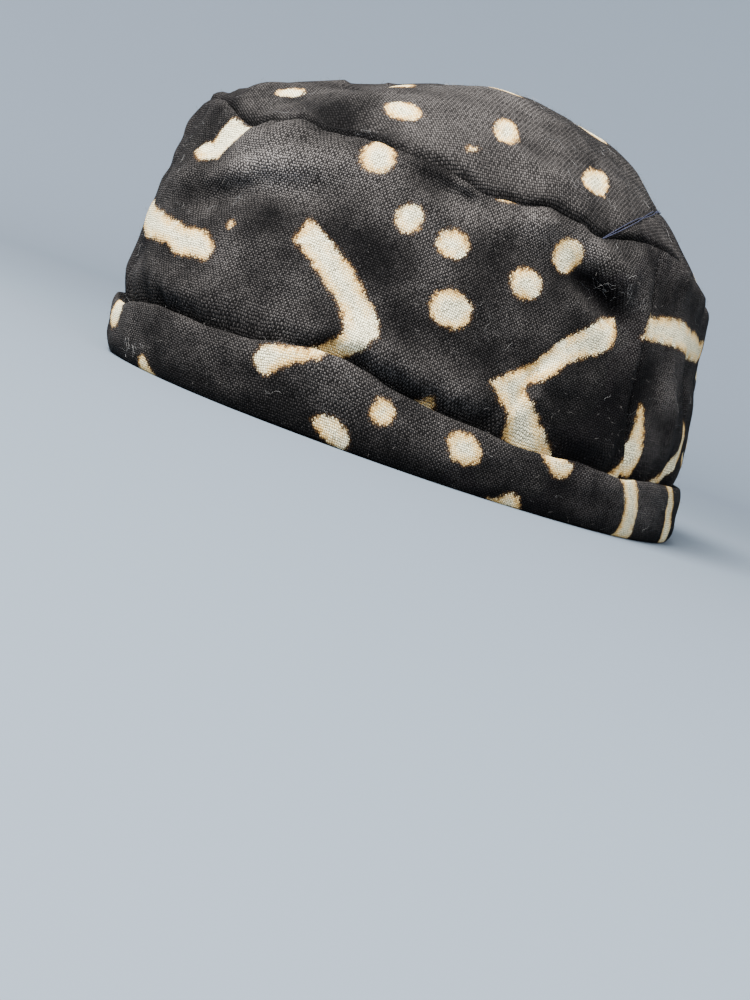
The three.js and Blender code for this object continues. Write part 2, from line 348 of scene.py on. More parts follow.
LIP_LIFT: tuple[Place, ...] = (
    (4, -1.1), (10, -0.4), (40, -1.0), (80, -0.5), (120, -1.2), (160, -0.6), (200, -1.0), (235, -0.8),
    (245, -2.6), (251, -3.2), (257, -1.6), (261, -1.0), (266, -0.6), (272, -1.2), (280, -2.5), (288, -2.9),
    (294, -1.2), (300, 0.0), (304, 0.3), (308, -0.3), (313, -1.7), (321, -1.8), (328, -1.3), (335, -2.0),
    (342, -1.6), (347, -0.8), (353, -1.4), (359, -2.1))

SEAM_WANDER: tuple[Place, ...] = (
    (12, 0.4), (35, -0.8), (60, 0.7), (88, -0.5), (118, 0.9), (150, -0.6), (182, 0.8), (210, -0.5),
    (236, 0.6), (253, 1.2), (266, -3.6), (272, -0.7), (278, 1.8), (285, 0.2), (292, 0.8), (306, 0.4),
    (316, -1.5), (322, -0.2), (328, 2.4), (335, 1.1), (340, -1.2), (350, 0.5))


def lip_lift(angle: Array) -> Array:
    """Return how far the hem's upper lip stands above its even line."""
    return charted(LIP_LIFT, np.degrees(angle))


def seam_wander(angle: Array) -> Array:
    """Return how far the crown's seam strays up from its even line."""
    return charted(SEAM_WANDER, np.degrees(angle))


@dataclass(frozen=True)
class Swell:
    """A broad fold of the part's own solids, measured as the part's source measures it.

    It stands at an angle in degrees and a share of the way over the cloth. Its length and width
    are shares of the seam's height, its slant is in degrees and its depth a share of the form's.
    """

    turn: float
    place: float
    length: float
    width: float
    slant: float
    depth: float

    def raised(self, form: CapForm, angle: Array, share: Array, reach: float | Array,
               span: float | Array) -> Array:
        """Return how far the fold lifts the cloth.

        Args:
            form: The cap's main form.
            angle: Angles in radians.
            share: Share of the way over the cloth.
            reach: Distance of each place from the cap's axis, as a share of its mean radius.
            span: Length of the way over the cloth, negative where it is measured inwards.

        Returns:
            Lift in millimetres.
        """
        along = offset_from(angle, math.radians(self.turn), TURN) * MEAN_RADIUS * reach
        across = (share - self.place) * span
        lean = math.radians(self.slant)
        first = (along * math.cos(lean) + across * math.sin(lean)) / (self.length * form.seam_height)
        last = (across * math.cos(lean) - along * math.sin(lean)) / (self.width * form.seam_height)
        return self.depth * form.fold_depth * np.exp(-(first * first + last * last))


@dataclass(frozen=True)
class Fold:
    """A ridge or a trough that runs along a path over the cloth, crisper where it is creased."""

    path: tuple[Place, ...]
    wide: float
    height: float
    crisp: float = 0.0

    def raised(self, round_mm: Array, up_mm: Array, length_round: float) -> Array:
        """Return how far the fold lifts the cloth.

        Args:
            round_mm: Place round the cap.
            up_mm: Place up the cloth.
            length_round: Length once round, after which the places repeat.

        Returns:
            Lift in millimetres.
        """
        middle = mean_first(self.path)
        near = offset_from(round_mm, middle, length_round) + middle
        away, along = distance_to_path(near, up_mm, self.path)
        soft = np.exp(-(away / self.wide) ** 2)
        sharp = np.exp(0.2 - np.sqrt((away / self.wide) ** 2 * 2.2 + 0.04))
        fading = 0.35 + 0.65 * np.sin(math.pi * along) ** 0.6
        return self.height * (soft + (sharp - soft) * self.crisp) * fading


def distance_to_path(across: Array, up: Array, path: tuple[Place, ...]) -> tuple[Array, Array]:
    """Measure the distance from each place to a path.

    Args:
        across: First coordinate of each place.
        up: Second coordinate of each place.
        path: Corners of the path; one corner alone is a point.

    Returns:
        The distance to the path, and the share of the way along it, which is 0.5 for a point.
    """
    if len(path) == 1:
        return np.hypot(across - path[0][0], up - path[0][1]), np.full(across.shape, 0.5)
    spans = [math.dist(path[i], path[i + 1]) for i in range(len(path) - 1)]
    whole = sum(spans)
    best = np.full(across.shape, 1e9)
    along = np.zeros(across.shape)
    gone = 0.0
    for i, span in enumerate(spans):
        run = (path[i + 1][0] - path[i][0], path[i + 1][1] - path[i][1])
        share = ((across - path[i][0]) * run[0] + (up - path[i][1]) * run[1]) / (span * span)
        share = np.clip(share, 0.0, 1.0)
        away = np.hypot(across - path[i][0] - run[0] * share, up - path[i][1] - run[1] * share)
        closer = away < best
        best = np.where(closer, away, best)
        along = np.where(closer, (gone + share * span) / whole, along)
        gone += span
    return best, along


@dataclass(frozen=True)
class Dot:
    """A round patch that the mud left bare."""

    at: Place
    across: float
    tall: float

    def middle(self) -> float:
        """Return the place round the cap of its middle."""
        return self.at[0]

    def distance(self, across: Array, up: Array) -> Array:
        """Return the signed distance to its edge, negative inside."""
        wide, tall = self.across / 2.0, self.tall / 2.0
        return (np.hypot((across - self.at[0]) / wide, (up - self.at[1]) / tall) - 1.0) * min(wide, tall)


@dataclass(frozen=True)
class Stroke:
    """A stroke that the mud left bare, of one width along a path."""

    path: tuple[Place, ...]
    width: float

    def middle(self) -> float:
        """Return the place round the cap of its middle."""
        return mean_first(self.path)

    def distance(self, across: Array, up: Array) -> Array:
        """Return the signed distance to its edge, negative inside."""
        return distance_to_path(across, up, self.path)[0] - self.width / 2.0


@dataclass(frozen=True)
class Outline:
    """A bare patch with charted corners, which are rounded off a little."""

    corners: tuple[Place, ...]
    rounding: float = 0.8

    def middle(self) -> float:
        """Return the place round the cap of its middle."""
        return mean_first(self.corners)

    def distance(self, across: Array, up: Array) -> Array:
        """Return the signed distance to its edge, negative inside."""
        away = distance_to_path(across, up, self.corners + self.corners[:1])[0]
        inside = np.zeros(across.shape, dtype=bool)
        for first, last in zip(self.corners, self.corners[1:] + self.corners[:1]):
            spans = (first[1] > up) != (last[1] > up)
            rise = last[1] - first[1] if last[1] != first[1] else 1e-9
            crossing = (last[0] - first[0]) * (up - first[1]) / rise + first[0]
            inside ^= spans & (across < crossing)
        return np.where(inside, -away, away) + self.rounding * 0.25


Figure = Dot | Stroke | Outline

WALL_FIGURES: tuple[Figure, ...] = (
    Outline(((-15.0, 80.8), (-4.6, 78.4), (-3.9, 75.6), (-7.1, 72.2), (-9.5, 67.2), (-17.4, 65.0),
             (-23.6, 67.6), (-21.5, 70.2), (-17.4, 72.3), (-16.6, 76.8))),
    Outline(((-46, 50.6), (-34.3, 48.0), (-25, 46.8), (-16.6, 45.7), (-7.1, 44.8), (1.6, 45.3), (5.0, 43.4),
             (7.0, 41.0), (6.0, 37.0), (0.5, 37.2), (-6.9, 35.9), (-13.1, 38.2), (-26.4, 38.2), (-36, 38.8),
             (-47, 41.0))),
    Dot((9.0, 49.7), 1.9, 2.0),
    Outline(((29.8, 51.2), (31.6, 58.2), (37.4, 55.3), (43.2, 52.2), (49.0, 48.4), (54.9, 42.6),
             (60.0, 38.0), (61.2, 33.2), (58.8, 28.3), (54.3, 24.8), (48.6, 23.6), (44.6, 22.6),
             (43.0, 24.6), (47.2, 25.9), (50.4, 28.3), (52.2, 30.6), (52.3, 33.0), (50.4, 36.2),
             (46.9, 39.4), (43.2, 42.0), (38.5, 45.6), (33.5, 49.2))),
    Dot((41.8, 81.0), 9.8, 9.4),
    Dot((57.0, 67.5), 7.2, 7.6),
    Dot((70.8, 65.1), 9.0, 7.8),
    Outline(((71.2, 51.0), (74.5, 53.4), (79.6, 52.7), (83.2, 50.2), (83.4, 46.0), (80.8, 42.9),
             (75.8, 42.5), (72.0, 44.2), (70.8, 47.2)), 1.4),
    Dot((96.3, 62.5), 10.4, 8.4),
    Dot((109.0, 75.0), 11.6, 9.8),
    Dot((81.4, 20.9), 6.4, 6.2),
    Outline(((77.0, 85.2), (86.5, 87.5), (86.0, 83.7), (80.0, 82.6))),
    Outline(((135.4, 63.6), (130.0, 61.2), (124.0, 58.0), (116.4, 52.8), (110.1, 46.2), (105.9, 40.2),
             (100.1, 36.6), (97.0, 33.4), (95.8, 32.2), (97.8, 31.0), (100.2, 29.2), (104.7, 26.4),
             (106.1, 23.0), (110.9, 18.4),
             (126.2, 18.4), (125.0, 21.4), (120.8, 22.8), (116.0, 26.1), (112.5, 29.0), (109.1, 31.6),
             (107.2, 33.6), (108.3, 35.6), (113.8, 39.9), (119.0, 45.8), (125.2, 49.2), (131.2, 52.2),
             (134.8, 55.2), (135.9, 59.6)), 0.3),
    Outline(((150.0, 69.4), (156.0, 69.0), (163.0, 70.8), (178.5, 72.6), (190.0, 70.9), (197.7, 71.5),
             (212.0, 70.0), (226.5, 71.4), (229.0, 66.0), (220.0, 62.4), (206.3, 62.7), (192.0, 61.8),
             (178.5, 63.4), (161.0, 62.5), (146.0, 60.4))),
    Outline(((157.5, 42.2), (160.6, 41.4), (163.0, 36.0), (166.0, 30.0), (167.0, 26.0), (166.9, 21.0),
             (153.6, 19.6), (156.8, 24.8), (159.0, 30.6), (158.6, 35.6))),
    Outline(((198.7, 42.2), (202.6, 41.6), (206.6, 36.4), (205.6, 30.6), (197.7, 25.2), (189.8, 20.6),
             (181.6, 20.0), (188.6, 25.0), (196.0, 30.6), (200.4, 36.2))),
    Stroke(((250, 66), (272, 51), (281, 38), (262, 23)), 8.6),
    Dot((236, 49), 9, 8.4),
    Dot((246, 36), 10, 9),
    Dot((229, 31), 8.4, 8),
    Dot((301, 47), 11, 10),
    Stroke(((292, 73), (313, 69)), 8.8),
    Stroke(((-118, 62), (-97, 46), (-92, 38), (-114, 22)), 8.4),
    Dot((-66, 70), 9.2, 8.8),
    Dot((-80, 60), 9.0, 8.6),
    Dot((-62, 55), 10.4, 9.4),
    Dot((-75, 33), 12.0, 10.6),
    Stroke(((-158, 67), (-136, 71)), 8.8),
    Stroke(((-184, 61), (-160, 46), (-151, 37), (-171, 22)), 8.6),
    Dot((-203, 70), 9.6, 9.0),
    Dot((-196, 46), 10.6, 9.6),
    Dot((-212, 36), 9.0, 8.6),
    Stroke(((-236, 66), (-222, 50), (-219, 40), (-240, 24)), 8.4),
    Stroke(((-272, 58), (-250, 62)), 8.6),
    Dot((-262, 38), 9.4, 9.0),
    Dot((-277, 28), 8.6, 8.2),
    Stroke(((-316, 60), (-298, 47), (-290, 38), (-306, 23)), 8.4),
)

HEM_FIGURES: tuple[Figure, ...] = (
    Outline(((-36.5, 17.4), (-30.6, 18.2), (-26.8, 14.4), (-27.6, 9.4), (-31.8, 7.4), (-36.8, 8.6)), 1.2),
    Outline(((-10.6, 3.0), (-7.8, 5.0), (-4.2, 1.6), (-0.6, -0.6), (-10.0, -1.5))),
    Outline(((46.5, 24.4), (41.8, 22.8), (38.2, 22.4), (33.6, 20.7), (31.2, 17.0), (32.8, 13.6),
             (36.0, 12.2), (40.1, 16.6), (44.0, 19.4), (49.4, 22.2), (50.4, 25.4)), 1.0),
    Outline(((50.2, 5.0), (53.4, 8.0), (57.4, 8.2), (61.0, 5.2), (62.0, 1.4), (59.8, -1.0),
             (54.0, 1.6)), 1.2),
    Outline(((65.1, 14.0), (66.8, 17.9), (70.4, 18.3), (72.4, 15.2), (71.6, 11.6), (68.4, 10.2),
             (65.8, 11.4)), 1.2),
    Outline(((87.9, 13.2), (90.0, 16.4), (95.8, 16.8), (99.0, 13.6), (98.6, 9.6), (94.6, 7.2),
             (89.4, 8.8)), 1.2),
    Outline(((104.0, 0.4), (108.0, 1.6), (111.0, 4.2), (114.4, 3.4), (116.4, 0.2), (116.0, -3.0),
             (104.0, -3.0))),
    Outline(((117.2, 20.6), (119.6, 17.8), (121.2, 16.0), (124.6, 13.1), (127.8, 12.6), (131.2, 14.6),
             (132.6, 17.4), (128.2, 18.9), (124.0, 20.4))),
    Outline(((151.5, 22.0), (156.0, 18.0), (158.0, 15.0), (159.6, 10.6), (159.8, 4.4), (157.8, -1.0),
             (169.6, -1.0), (168.8, 5.0), (167.8, 11.0), (166.4, 16.4), (164.6, 19.6), (163.6, 22.4))),
    Outline(((183.0, 22.0), (190.4, 19.8), (193.9, 17.8), (195.8, 13.8), (197.6, 8.0), (199.0, 3.4),
             (199.6, -1.0), (209.4, -1.0), (208.6, 7.0), (205.4, 14.2), (201.6, 18.4), (196.0, 22.0))),
    Dot((231, 11), 9.0, 9.4),
    Dot((252, 4), 8.6, 8.0),
    Stroke(((262, 22), (257, 12), (262, 2)), 7.4),
    Dot((283, 13), 9.4, 9.0),
    Dot((306, 9), 8.8, 9.4),
    Dot((-57, 12), 8.8, 8.4),
    Dot((-80, 5), 9.0, 8.6),
    Dot((-97, 14), 8.4, 8.4),
    Stroke(((-114, 22), (-120, 13), (-117, 2)), 7.4),
    Dot((-143, 9), 9.8, 9.0),
    Stroke(((-171, 22), (-178, 12), (-175, 1)), 7.6),
    Dot((-204, 12), 8.6, 9.2),
    Dot((-222, 4), 8.8, 8.0),
    Stroke(((-240, 22), (-246, 13), (-244, 5)), 7.2),
    Dot((-272, 10), 9.0, 9.0),
    Stroke(((-306, 22), (-311, 12), (-308, 3)), 7.4),
)

CROWN_FIGURES: tuple[Figure, ...] = (
    Outline(((-16.2, -123.9), (-19.0, -119.8), (-17.5, -116.4), (-14.7, -112.6), (-11.1, -116.2),
             (-11.4, -120.4))),
    Outline(((18.8, -109.3), (20.5, -106.2), (25.0, -104.7), (29.5, -104.8), (32.8, -106.4), (33.9, -110.1),
             (31.0, -113.0), (27.1, -113.9), (21.5, -112.5)), 1.2),
    Outline(((44.0, -86.3), (41.0, -82.0), (39.7, -78.0), (41.2, -74.6), (45.6, -75.7), (49.6, -80.0),
             (52.0, -85.6), (49.8, -88.8), (46.5, -88.2)), 1.2),
    Outline(((67.2, -64.4), (62.3, -58.3), (58.4, -50.0), (57.4, -43.0), (60.6, -42.0), (65.6, -45.6),
             (70.1, -52.4), (70.9, -61.0), (69.4, -64.4)), 1.4),
    Dot((3.4, -91.0), 13.0, 12.0),
    Dot((17.8, -55.0), 13.0, 12.6),
    Dot((19.6, -5.6), 13.0, 12.0),
    Dot((89.5, -2.0), 9.0, 9.0),
    Dot((51.9, -102.6), 1.6, 3.0),
)

SEEN_MIDDLES: tuple[Place, ...] = (
    (-15, -118), (28, -110), (46, -82), (65, -54), (3.4, -91), (17.8, -55), (34.5, -21.5), (17.0, -7.0),
    (89.5, -2))


@dataclass(frozen=True)
class CrownLattice:
    """Even rows of dots over the part of the crown that has no charted dots.

    Where a place is past a corner of seen_bare to the left and in front of it, the camera sees
    the cloth, and only the charted dots lie there.
    """

    start: Place = (28.0, -111.5)
    along: Place = (18.5, 30.0)
    between: Place = (-25.0, 22.0)
    rows: tuple[int, int] = (-1, 9)
    places: tuple[int, int] = (-4, 9)
    size: float = 13.8
    uneven: float = 1.1
    stray: float = 1.3
    clear: float = 15.0
    seen_bare: tuple[Place, ...] = ((-34.0, -60.0), (58.0, 34.0))
    seed: int = 5

    def dots(self) -> tuple[Dot, ...]:
        """Return the dots that stay clear of the charted ones."""
        chance = np.random.default_rng(self.seed)
        found: list[Dot] = []
        for row in range(*self.rows):
            for place in range(*self.places):
                stray = chance.normal(0.0, self.stray, 2)
                wide, tall = self.size + chance.normal(0.0, self.uneven, 2)
                left = self.start[0] + self.along[0] * place + self.between[0] * row + stray[0]
                back = self.start[1] + self.along[1] * place + self.between[1] * row + stray[1]
                taken = any(math.dist((left, back), middle) < self.clear for middle in SEEN_MIDDLES)
                bare = any(left > corner[0] and back < corner[1] for corner in self.seen_bare)
                if not taken and not bare:
                    found.append(Dot((left, back), wide, tall))
        return tuple(found)


def figure_distance(figures: tuple[Figure, ...], across: Array, up: Array, repeat: float) -> Array:
    """Return the signed distance to the nearest bare figure, negative inside.

    Args:
        figures: Dots, strokes and outlines.
        across: First cloth coordinate, in millimetres.
        up: Second cloth coordinate, in millimetres.
        repeat: Length after which the first coordinate repeats, or 0 where it doesn't.

    Returns:
        Distance in millimetres, no more than FARTHEST.
    """
    best = np.full(across.shape, FARTHEST)
    for figure in figures:
        near = across
        if repeat:
            near = offset_from(across, figure.middle(), repeat) + figure.middle()
        best = np.minimum(best, figure.distance(near, up))
    return best


class NodeDesk:
    """Lays out the nodes of one material and links them."""

    def __init__(self, name: str) -> None:
        """Start a material with its shader and nothing else.

        Args:
            name: Name of the material.
        """
        self.material = bpy.data.materials.new(name)
        self.material.use_nodes = True
        self.tree = self.material.node_tree
        self.shader = self.tree.nodes["Principled BSDF"]

    def node(self, kind: str) -> bpy.types.Node:
        """Add a node of a kind."""
        return self.tree.nodes.new(kind)

    def link(self, value: object, socket: Socket) -> None:
        """Link a socket to an input, or set the input to a plain value.

        Args:
            value: An output socket, a number or a colour.
            socket: The input to fill.
        """
        if isinstance(value, Socket):
            self.tree.links.new(value, socket)
        elif isinstance(value, tuple):
            socket.default_value = (*value, 1.0)
        else:
            socket.default_value = value

    def math(self, operation: str, first: object, last: object = 0.0) -> Socket:
        """Add a Math node and return its output."""
        node = self.node("ShaderNodeMath")
        node.operation = operation
        self.link(first, node.inputs[0])
        self.link(last, node.inputs[1])
        return node.outputs[0]

    def add(self, first: object, last: object) -> Socket:
        """Add two values."""
        return self.math("ADD", first, last)

    def scaled(self, value: object, by: float) -> Socket:
        """Multiply a value by a number."""
        return self.math("MULTIPLY", value, by)

    def hump(self, value: object) -> Socket:
        """Round a thread off: 0 at each whole number and 1 halfway between two."""
        centred = self.add(self.scaled(self.math("FRACT", value), 2.0), -1.0)
        return self.math("SUBTRACT", 1.0, self.math("MULTIPLY", centred, centred))

    def odd(self, value: object) -> Socket:
        """Return 1 for an odd whole number and 0 for an even one."""
        return self.math("FLOORED_MODULO", value, 2.0)

    def mixed(self, share: object, first: object, last: object) -> Socket:
        """Mix two values."""
        node = self.node("ShaderNodeMix")
        node.data_type = "FLOAT"
        self.link(share, node.inputs[0])
        self.link(first, node.inputs[2])
        self.link(last, node.inputs[3])
        return node.outputs[0]

    def colour_mixed(self, share: object, first: object, last: object) -> Socket:
        """Mix two colours."""
        node = self.node("ShaderNodeMix")
        node.data_type = "RGBA"
        self.link(share, node.inputs[0])
        self.link(first, node.inputs[6])
        self.link(last, node.inputs[7])
        return node.outputs[2]

    def ramp(self, value: object, low: float, high: float) -> Socket:
        """Ease a value from 0 at low to 1 at high, where low may be the larger."""
        node = self.node("ShaderNodeMapRange")
        node.interpolation_type = "SMOOTHSTEP"
        self.link(value, node.inputs[0])
        self.link(min(low, high), node.inputs[1])
        self.link(max(low, high), node.inputs[2])
        self.link(0.0 if low < high else 1.0, node.inputs[3])
        self.link(1.0 if low < high else 0.0, node.inputs[4])
        return node.outputs[0]

    def attribute(self, name: str) -> Socket:
        """Read a number that the mesh carries at each point."""
        node = self.node("ShaderNodeAttribute")
        node.attribute_name = name
        return node.outputs["Fac"]

    def cloth_place(self, turned: float) -> Socket:
        """Read the cloth's UV map in millimetres, turned by some degrees."""
        source = self.node("ShaderNodeUVMap")
        source.uv_map = "cloth"
        mapping = self.node("ShaderNodeMapping")
        mapping.inputs["Scale"].default_value = (1000.0, 1000.0, 1.0)
        mapping.inputs["Rotation"].default_value = (0.0, 0.0, math.radians(turned))
        self.link(source.outputs[0], mapping.inputs[0])
        return mapping.outputs[0]

    def object_place(self) -> Socket:
        """Read Object coordinates in millimetres."""
        source = self.node("ShaderNodeTexCoord")
        mapping = self.node("ShaderNodeMapping")
        mapping.inputs["Scale"].default_value = (1000.0, 1000.0, 1000.0)
        self.link(source.outputs["Object"], mapping.inputs[0])
        return mapping.outputs[0]

    def shifted(self, place: object, by: float) -> Socket:
        """Move places by the same number on every axis."""
        node = self.node("ShaderNodeVectorMath")
        node.operation = "ADD"
        self.link(place, node.inputs[0])
        node.inputs[1].default_value = (by, by, by)
        return node.outputs[0]

    def part(self, place: object, axis: int) -> Socket:
        """Take one axis of a place."""
        node = self.node("ShaderNodeSeparateXYZ")
        self.link(place, node.inputs[0])
        return node.outputs[axis]

    def joined(self, across: object, up: object, deep: float = 0.0) -> Socket:
        """Join three numbers into a place."""
        node = self.node("ShaderNodeCombineXYZ")
        self.link(across, node.inputs[0])
        self.link(up, node.inputs[1])
        self.link(deep, node.inputs[2])
        return node.outputs[0]

    def noise(self, place: object, scale: float, detail: float, roughness: float) -> Socket:
        """Add a Noise Texture and return its value."""
        node = self.node("ShaderNodeTexNoise")
        self.link(place, node.inputs["Vector"])
        node.inputs["Scale"].default_value = scale
        node.inputs["Detail"].default_value = detail
        node.inputs["Roughness"].default_value = roughness
        return node.outputs[0]

    def scatter(self, place: object) -> Socket:
        """Return a chance number from 0 to 1 that is the same for the same place."""
        node = self.node("ShaderNodeTexWhiteNoise")
        node.noise_dimensions = "2D"
        self.link(place, node.inputs["Vector"])
        return node.outputs["Value"]

    def bump(self, height: object, depth: float) -> None:
        """Give the shader a bump of a height, in metres, for a value of 1."""
        node = self.node("ShaderNodeBump")
        node.inputs["Strength"].default_value = 1.0
        node.inputs["Distance"].default_value = depth
        self.link(height, node.inputs["Height"])
        self.link(node.outputs[0], self.shader.inputs["Normal"])


@dataclass(frozen=True)
class Weave:
    """The weave of one material: sockets that the cloth's colour and relief are made from.

    They are its place in millimetres, its height, the thickness of its threads, a chance number
    for each crossing and the noise of its specks.
    """

    flat: Socket
    height: Socket
    slub: Socket
    cell: Socket
    specks: Socket


@dataclass(frozen=True)
class DyedCotton:
    """Finish of a coarse plain-woven cotton, mud-dyed nearly black, with bare cream figures.

    Pitches are in millimetres, turned is the weave's angle in degrees, relief the height of a
    thread in millimetres, and under how high the weft lies against the warp. The four grounds run
    from deep, a painted shade between threads, to worn, on a paled thread's crown; deep and
    dusty_gap_shade lie between threads, dyed and worn on their crowns. cream_in_gap_shade is the
    bare cloth's painted shade between threads.
    """

    name: str
    warp_pitch: float
    weft_pitch: float
    turned: float = 0.0
    relief: float = 0.36
    under: float = 0.45
    top_of_thread: Place = (0.26, 0.66)
    straying: float = 1.4
    wobbling: float = 0.55
    # deep, dusty_gap_shade and cream_in_gap_shade are painted shade in the gaps between threads.
    deep: Colour = (0.0014, 0.0013, 0.0014)
    dyed: Colour = (0.0086, 0.0080, 0.0082)
    dusty_gap_shade: Colour = (0.0185, 0.0168, 0.0162)
    worn: Colour = (0.215, 0.196, 0.186)
    cream: Colour = (1.0, 0.93, 0.625)
    cream_in_gap_shade: Colour = (0.050, 0.041, 0.027)
    amber: Colour = (0.78, 0.47, 0.115)
    brown: Colour = (0.23, 0.115, 0.036)
    tinted: float = 0.80
    rimmed: float = 0.85
    haloed: float = 0.16
    roughness: float = 0.92

    def make(self) -> bpy.types.Material:
        """Build the material.

        Returns:
            The material, which reads the cloth's own UV map and its figure attribute.
        """
        desk = NodeDesk(self.name)
        weave = self.weave(desk)
        ground = self.dyed_ground(desk, weave)
        edge = self.ragged_edge(desk, weave)
        bare_ground = self.bare_ground(desk, weave, edge)
        ground = desk.colour_mixed(desk.scaled(desk.ramp(edge, 1.2, 0.0), self.haloed), ground, self.brown)
        colour = desk.colour_mixed(desk.ramp(edge, 0.45, -0.35), ground, bare_ground)
        desk.link(colour, desk.shader.inputs["Base Color"])
        desk.shader.inputs["Roughness"].default_value = self.roughness
        desk.shader.inputs["Specular IOR Level"].default_value = 0.04
        desk.bump(desk.add(weave.height, desk.scaled(weave.specks, 0.35)), self.relief * MM)
        return desk.material

    def strayed(self, desk: NodeDesk, flat: Socket, axis: int, shifts: Place) -> Socket:
        """Push one cloth coordinate about, so that no thread runs quite straight.

        Args:
            desk: The material's nodes.
            flat: Cloth coordinates in millimetres.
            axis: 0 across and 1 up.
            shifts: How far the broad and the close noise are moved from the other axis's.

        Returns:
            The coordinate.
        """
        broad = desk.noise(desk.shifted(flat, shifts[0]), 0.11, 2.0, 0.5)
        close = desk.noise(desk.shifted(flat, shifts[1]), 0.8, 1.0, 0.5)
        place = desk.add(desk.part(flat, axis), desk.scaled(desk.add(broad, -0.5), self.straying))
        return desk.add(place, desk.scaled(desk.add(close, -0.5), self.wobbling))

    def weave(self, desk: NodeDesk) -> Weave:
        """Weave warp over weft, one over one, with threads of uneven thickness.

        Args:
            desk: The material's nodes.

        Returns:
            The weave.
        """
        flat = desk.cloth_place(self.turned)
        warp = desk.scaled(self.strayed(desk, flat, 0, (0.0, 0.0)), 1.0 / self.warp_pitch)
        weft = desk.scaled(self.strayed(desk, flat, 1, (37.0, 53.0)), 1.0 / self.weft_pitch)
        warp_number = desk.math("FLOOR", warp)
        weft_number = desk.math("FLOOR", weft)
        warp_round, weft_round = desk.hump(warp), desk.hump(weft)
        parity = desk.odd(desk.add(warp_number, weft_number))
        along_warp = desk.joined(desk.scaled(warp_number, 5.17), desk.scaled(weft, 0.16))
        along_weft = desk.joined(desk.scaled(weft_number, 7.31), desk.scaled(warp, 0.16), 61.0)
        slub = desk.mixed(
            parity, desk.noise(along_warp, 1.0, 2.0, 0.6), desk.noise(along_weft, 1.0, 2.0, 0.6))
        over_warp = desk.math("MULTIPLY", warp_round, desk.add(desk.scaled(weft_round, 0.55), 0.45))
        over_weft = desk.math("MULTIPLY", weft_round, desk.add(desk.scaled(warp_round, 0.55), 0.45))
        thread = desk.mixed(parity, over_warp, desk.scaled(over_weft, self.under))
        cell = desk.scatter(desk.joined(warp_number, weft_number))
        fuzz = desk.noise(flat, 2.4, 2.0, 0.6)
        thick = desk.add(desk.add(desk.scaled(slub, 1.2), desk.scaled(cell, 0.75)), 0.05)
        even = desk.math("MULTIPLY", thread, thick)
        height = desk.math("MULTIPLY", even, desk.add(desk.scaled(fuzz, 1.1), 0.45))
        return Weave(flat, height, slub, cell, desk.noise(flat, 0.9, 3.0, 0.7))

    def dyed_ground(self, desk: NodeDesk, weave: Weave) -> Socket:
        """Colour the dyed cloth: paler on the worn crowns of its threads and darker in the gaps between
        them, a painted shade, and lighter or darker as the fade attribute says, which holds paled dye and
        painted light and shade.

        Args:
            desk: The material's nodes.
            weave: The cloth's weave.

        Returns:
            The colour.
        """
        blots = desk.noise(weave.flat, 0.06, 4.0, 0.65)
        faded_by = desk.add(desk.attribute("fade"), desk.scaled(desk.add(blots, -0.5), 0.70))
        faded_by = desk.ramp(faded_by, -0.12, 1.12)
        # The gaps between threads take the darker grounds, a painted shade in the weave.
        gap_shade_ground = desk.colour_mixed(faded_by, self.deep, self.dusty_gap_shade)
        high_ground = desk.colour_mixed(faded_by, self.dyed, self.worn)
        ground = desk.colour_mixed(desk.ramp(weave.height, *self.top_of_thread), gap_shade_ground, high_ground)
        return desk.colour_mixed(desk.scaled(desk.ramp(weave.specks, 0.62, 0.82), 0.30), ground, self.worn)

    def ragged_edge(self, desk: NodeDesk, weave: Weave) -> Socket:
        """Return the distance to the nearest figure, negative inside, ragged as dye stops at a thread.

        Args:
            desk: The material's nodes.
            weave: The cloth's weave.

        Returns:
            The distance in millimetres.
        """
        ragged = desk.noise(weave.flat, 0.30, 4.0, 0.65)
        edge = desk.attribute("figure")
        for value, middle, by in (
                (ragged, 0.5, 2.6), (weave.slub, 0.5, 0.8),
                (weave.cell, 0.5, 0.9), (weave.height, 0.4, -0.6)):
            edge = desk.add(edge, desk.scaled(desk.add(value, -middle), by))
        return edge

    def bare_ground(self, desk: NodeDesk, weave: Weave, edge: Socket) -> Socket:
        """Colour the bare cloth, stained amber near a figure's edge and brown at it, and painted darker in
        the gaps between threads, a painted shade.

        Args:
            desk: The material's nodes.
            weave: The cloth's weave.
            edge: Distance to the nearest figure's edge.

        Returns:
            The colour.
        """
        stain = desk.noise(desk.shifted(weave.flat, 11.0), 0.13, 3.0, 0.55)
        # The bare cloth is painted darker in the weave's gaps, a painted shade between threads.
        ground = desk.colour_mixed(desk.ramp(weave.height, 0.05, 0.52), self.cream_in_gap_shade, self.cream)
        dappled = desk.add(desk.scaled(weave.cell, 0.5), 0.65)
        for colour, amount, reach, stained in (
                (self.amber, self.tinted, (-3.6, -0.4), (0.32, 0.56)),
                (self.brown, self.rimmed, (-1.5, 0.20), (0.30, 0.56))):
            share = desk.math("MULTIPLY", desk.ramp(edge, *reach), desk.ramp(stain, *stained))
            share = desk.math("MULTIPLY", share, dappled)
            ground = desk.colour_mixed(desk.scaled(share, amount), ground, colour)
        return ground


@dataclass(frozen=True)
class PlainFinish:
    """Finish of a thread or of lint, with a faint mottling."""

    name: str
    light: Colour
    dark: Colour
    grain: float
    roughness: float = 0.85
    relief: float = 0.02

    def make(self) -> bpy.types.Material:
        """Build the material.

        Returns:
            The material, which reads Object coordinates.
        """
        desk = NodeDesk(self.name)
        mottle = desk.noise(desk.object_place(), self.grain, 3.0, 0.55)
        colour = desk.colour_mixed(desk.ramp(mottle, 0.3, 0.7), self.dark, self.light)
        desk.link(colour, desk.shader.inputs["Base Color"])
        desk.shader.inputs["Roughness"].default_value = self.roughness
        desk.shader.inputs["Specular IOR Level"].default_value = 0.2
        desk.bump(mottle, self.relief * MM)
        return desk.material


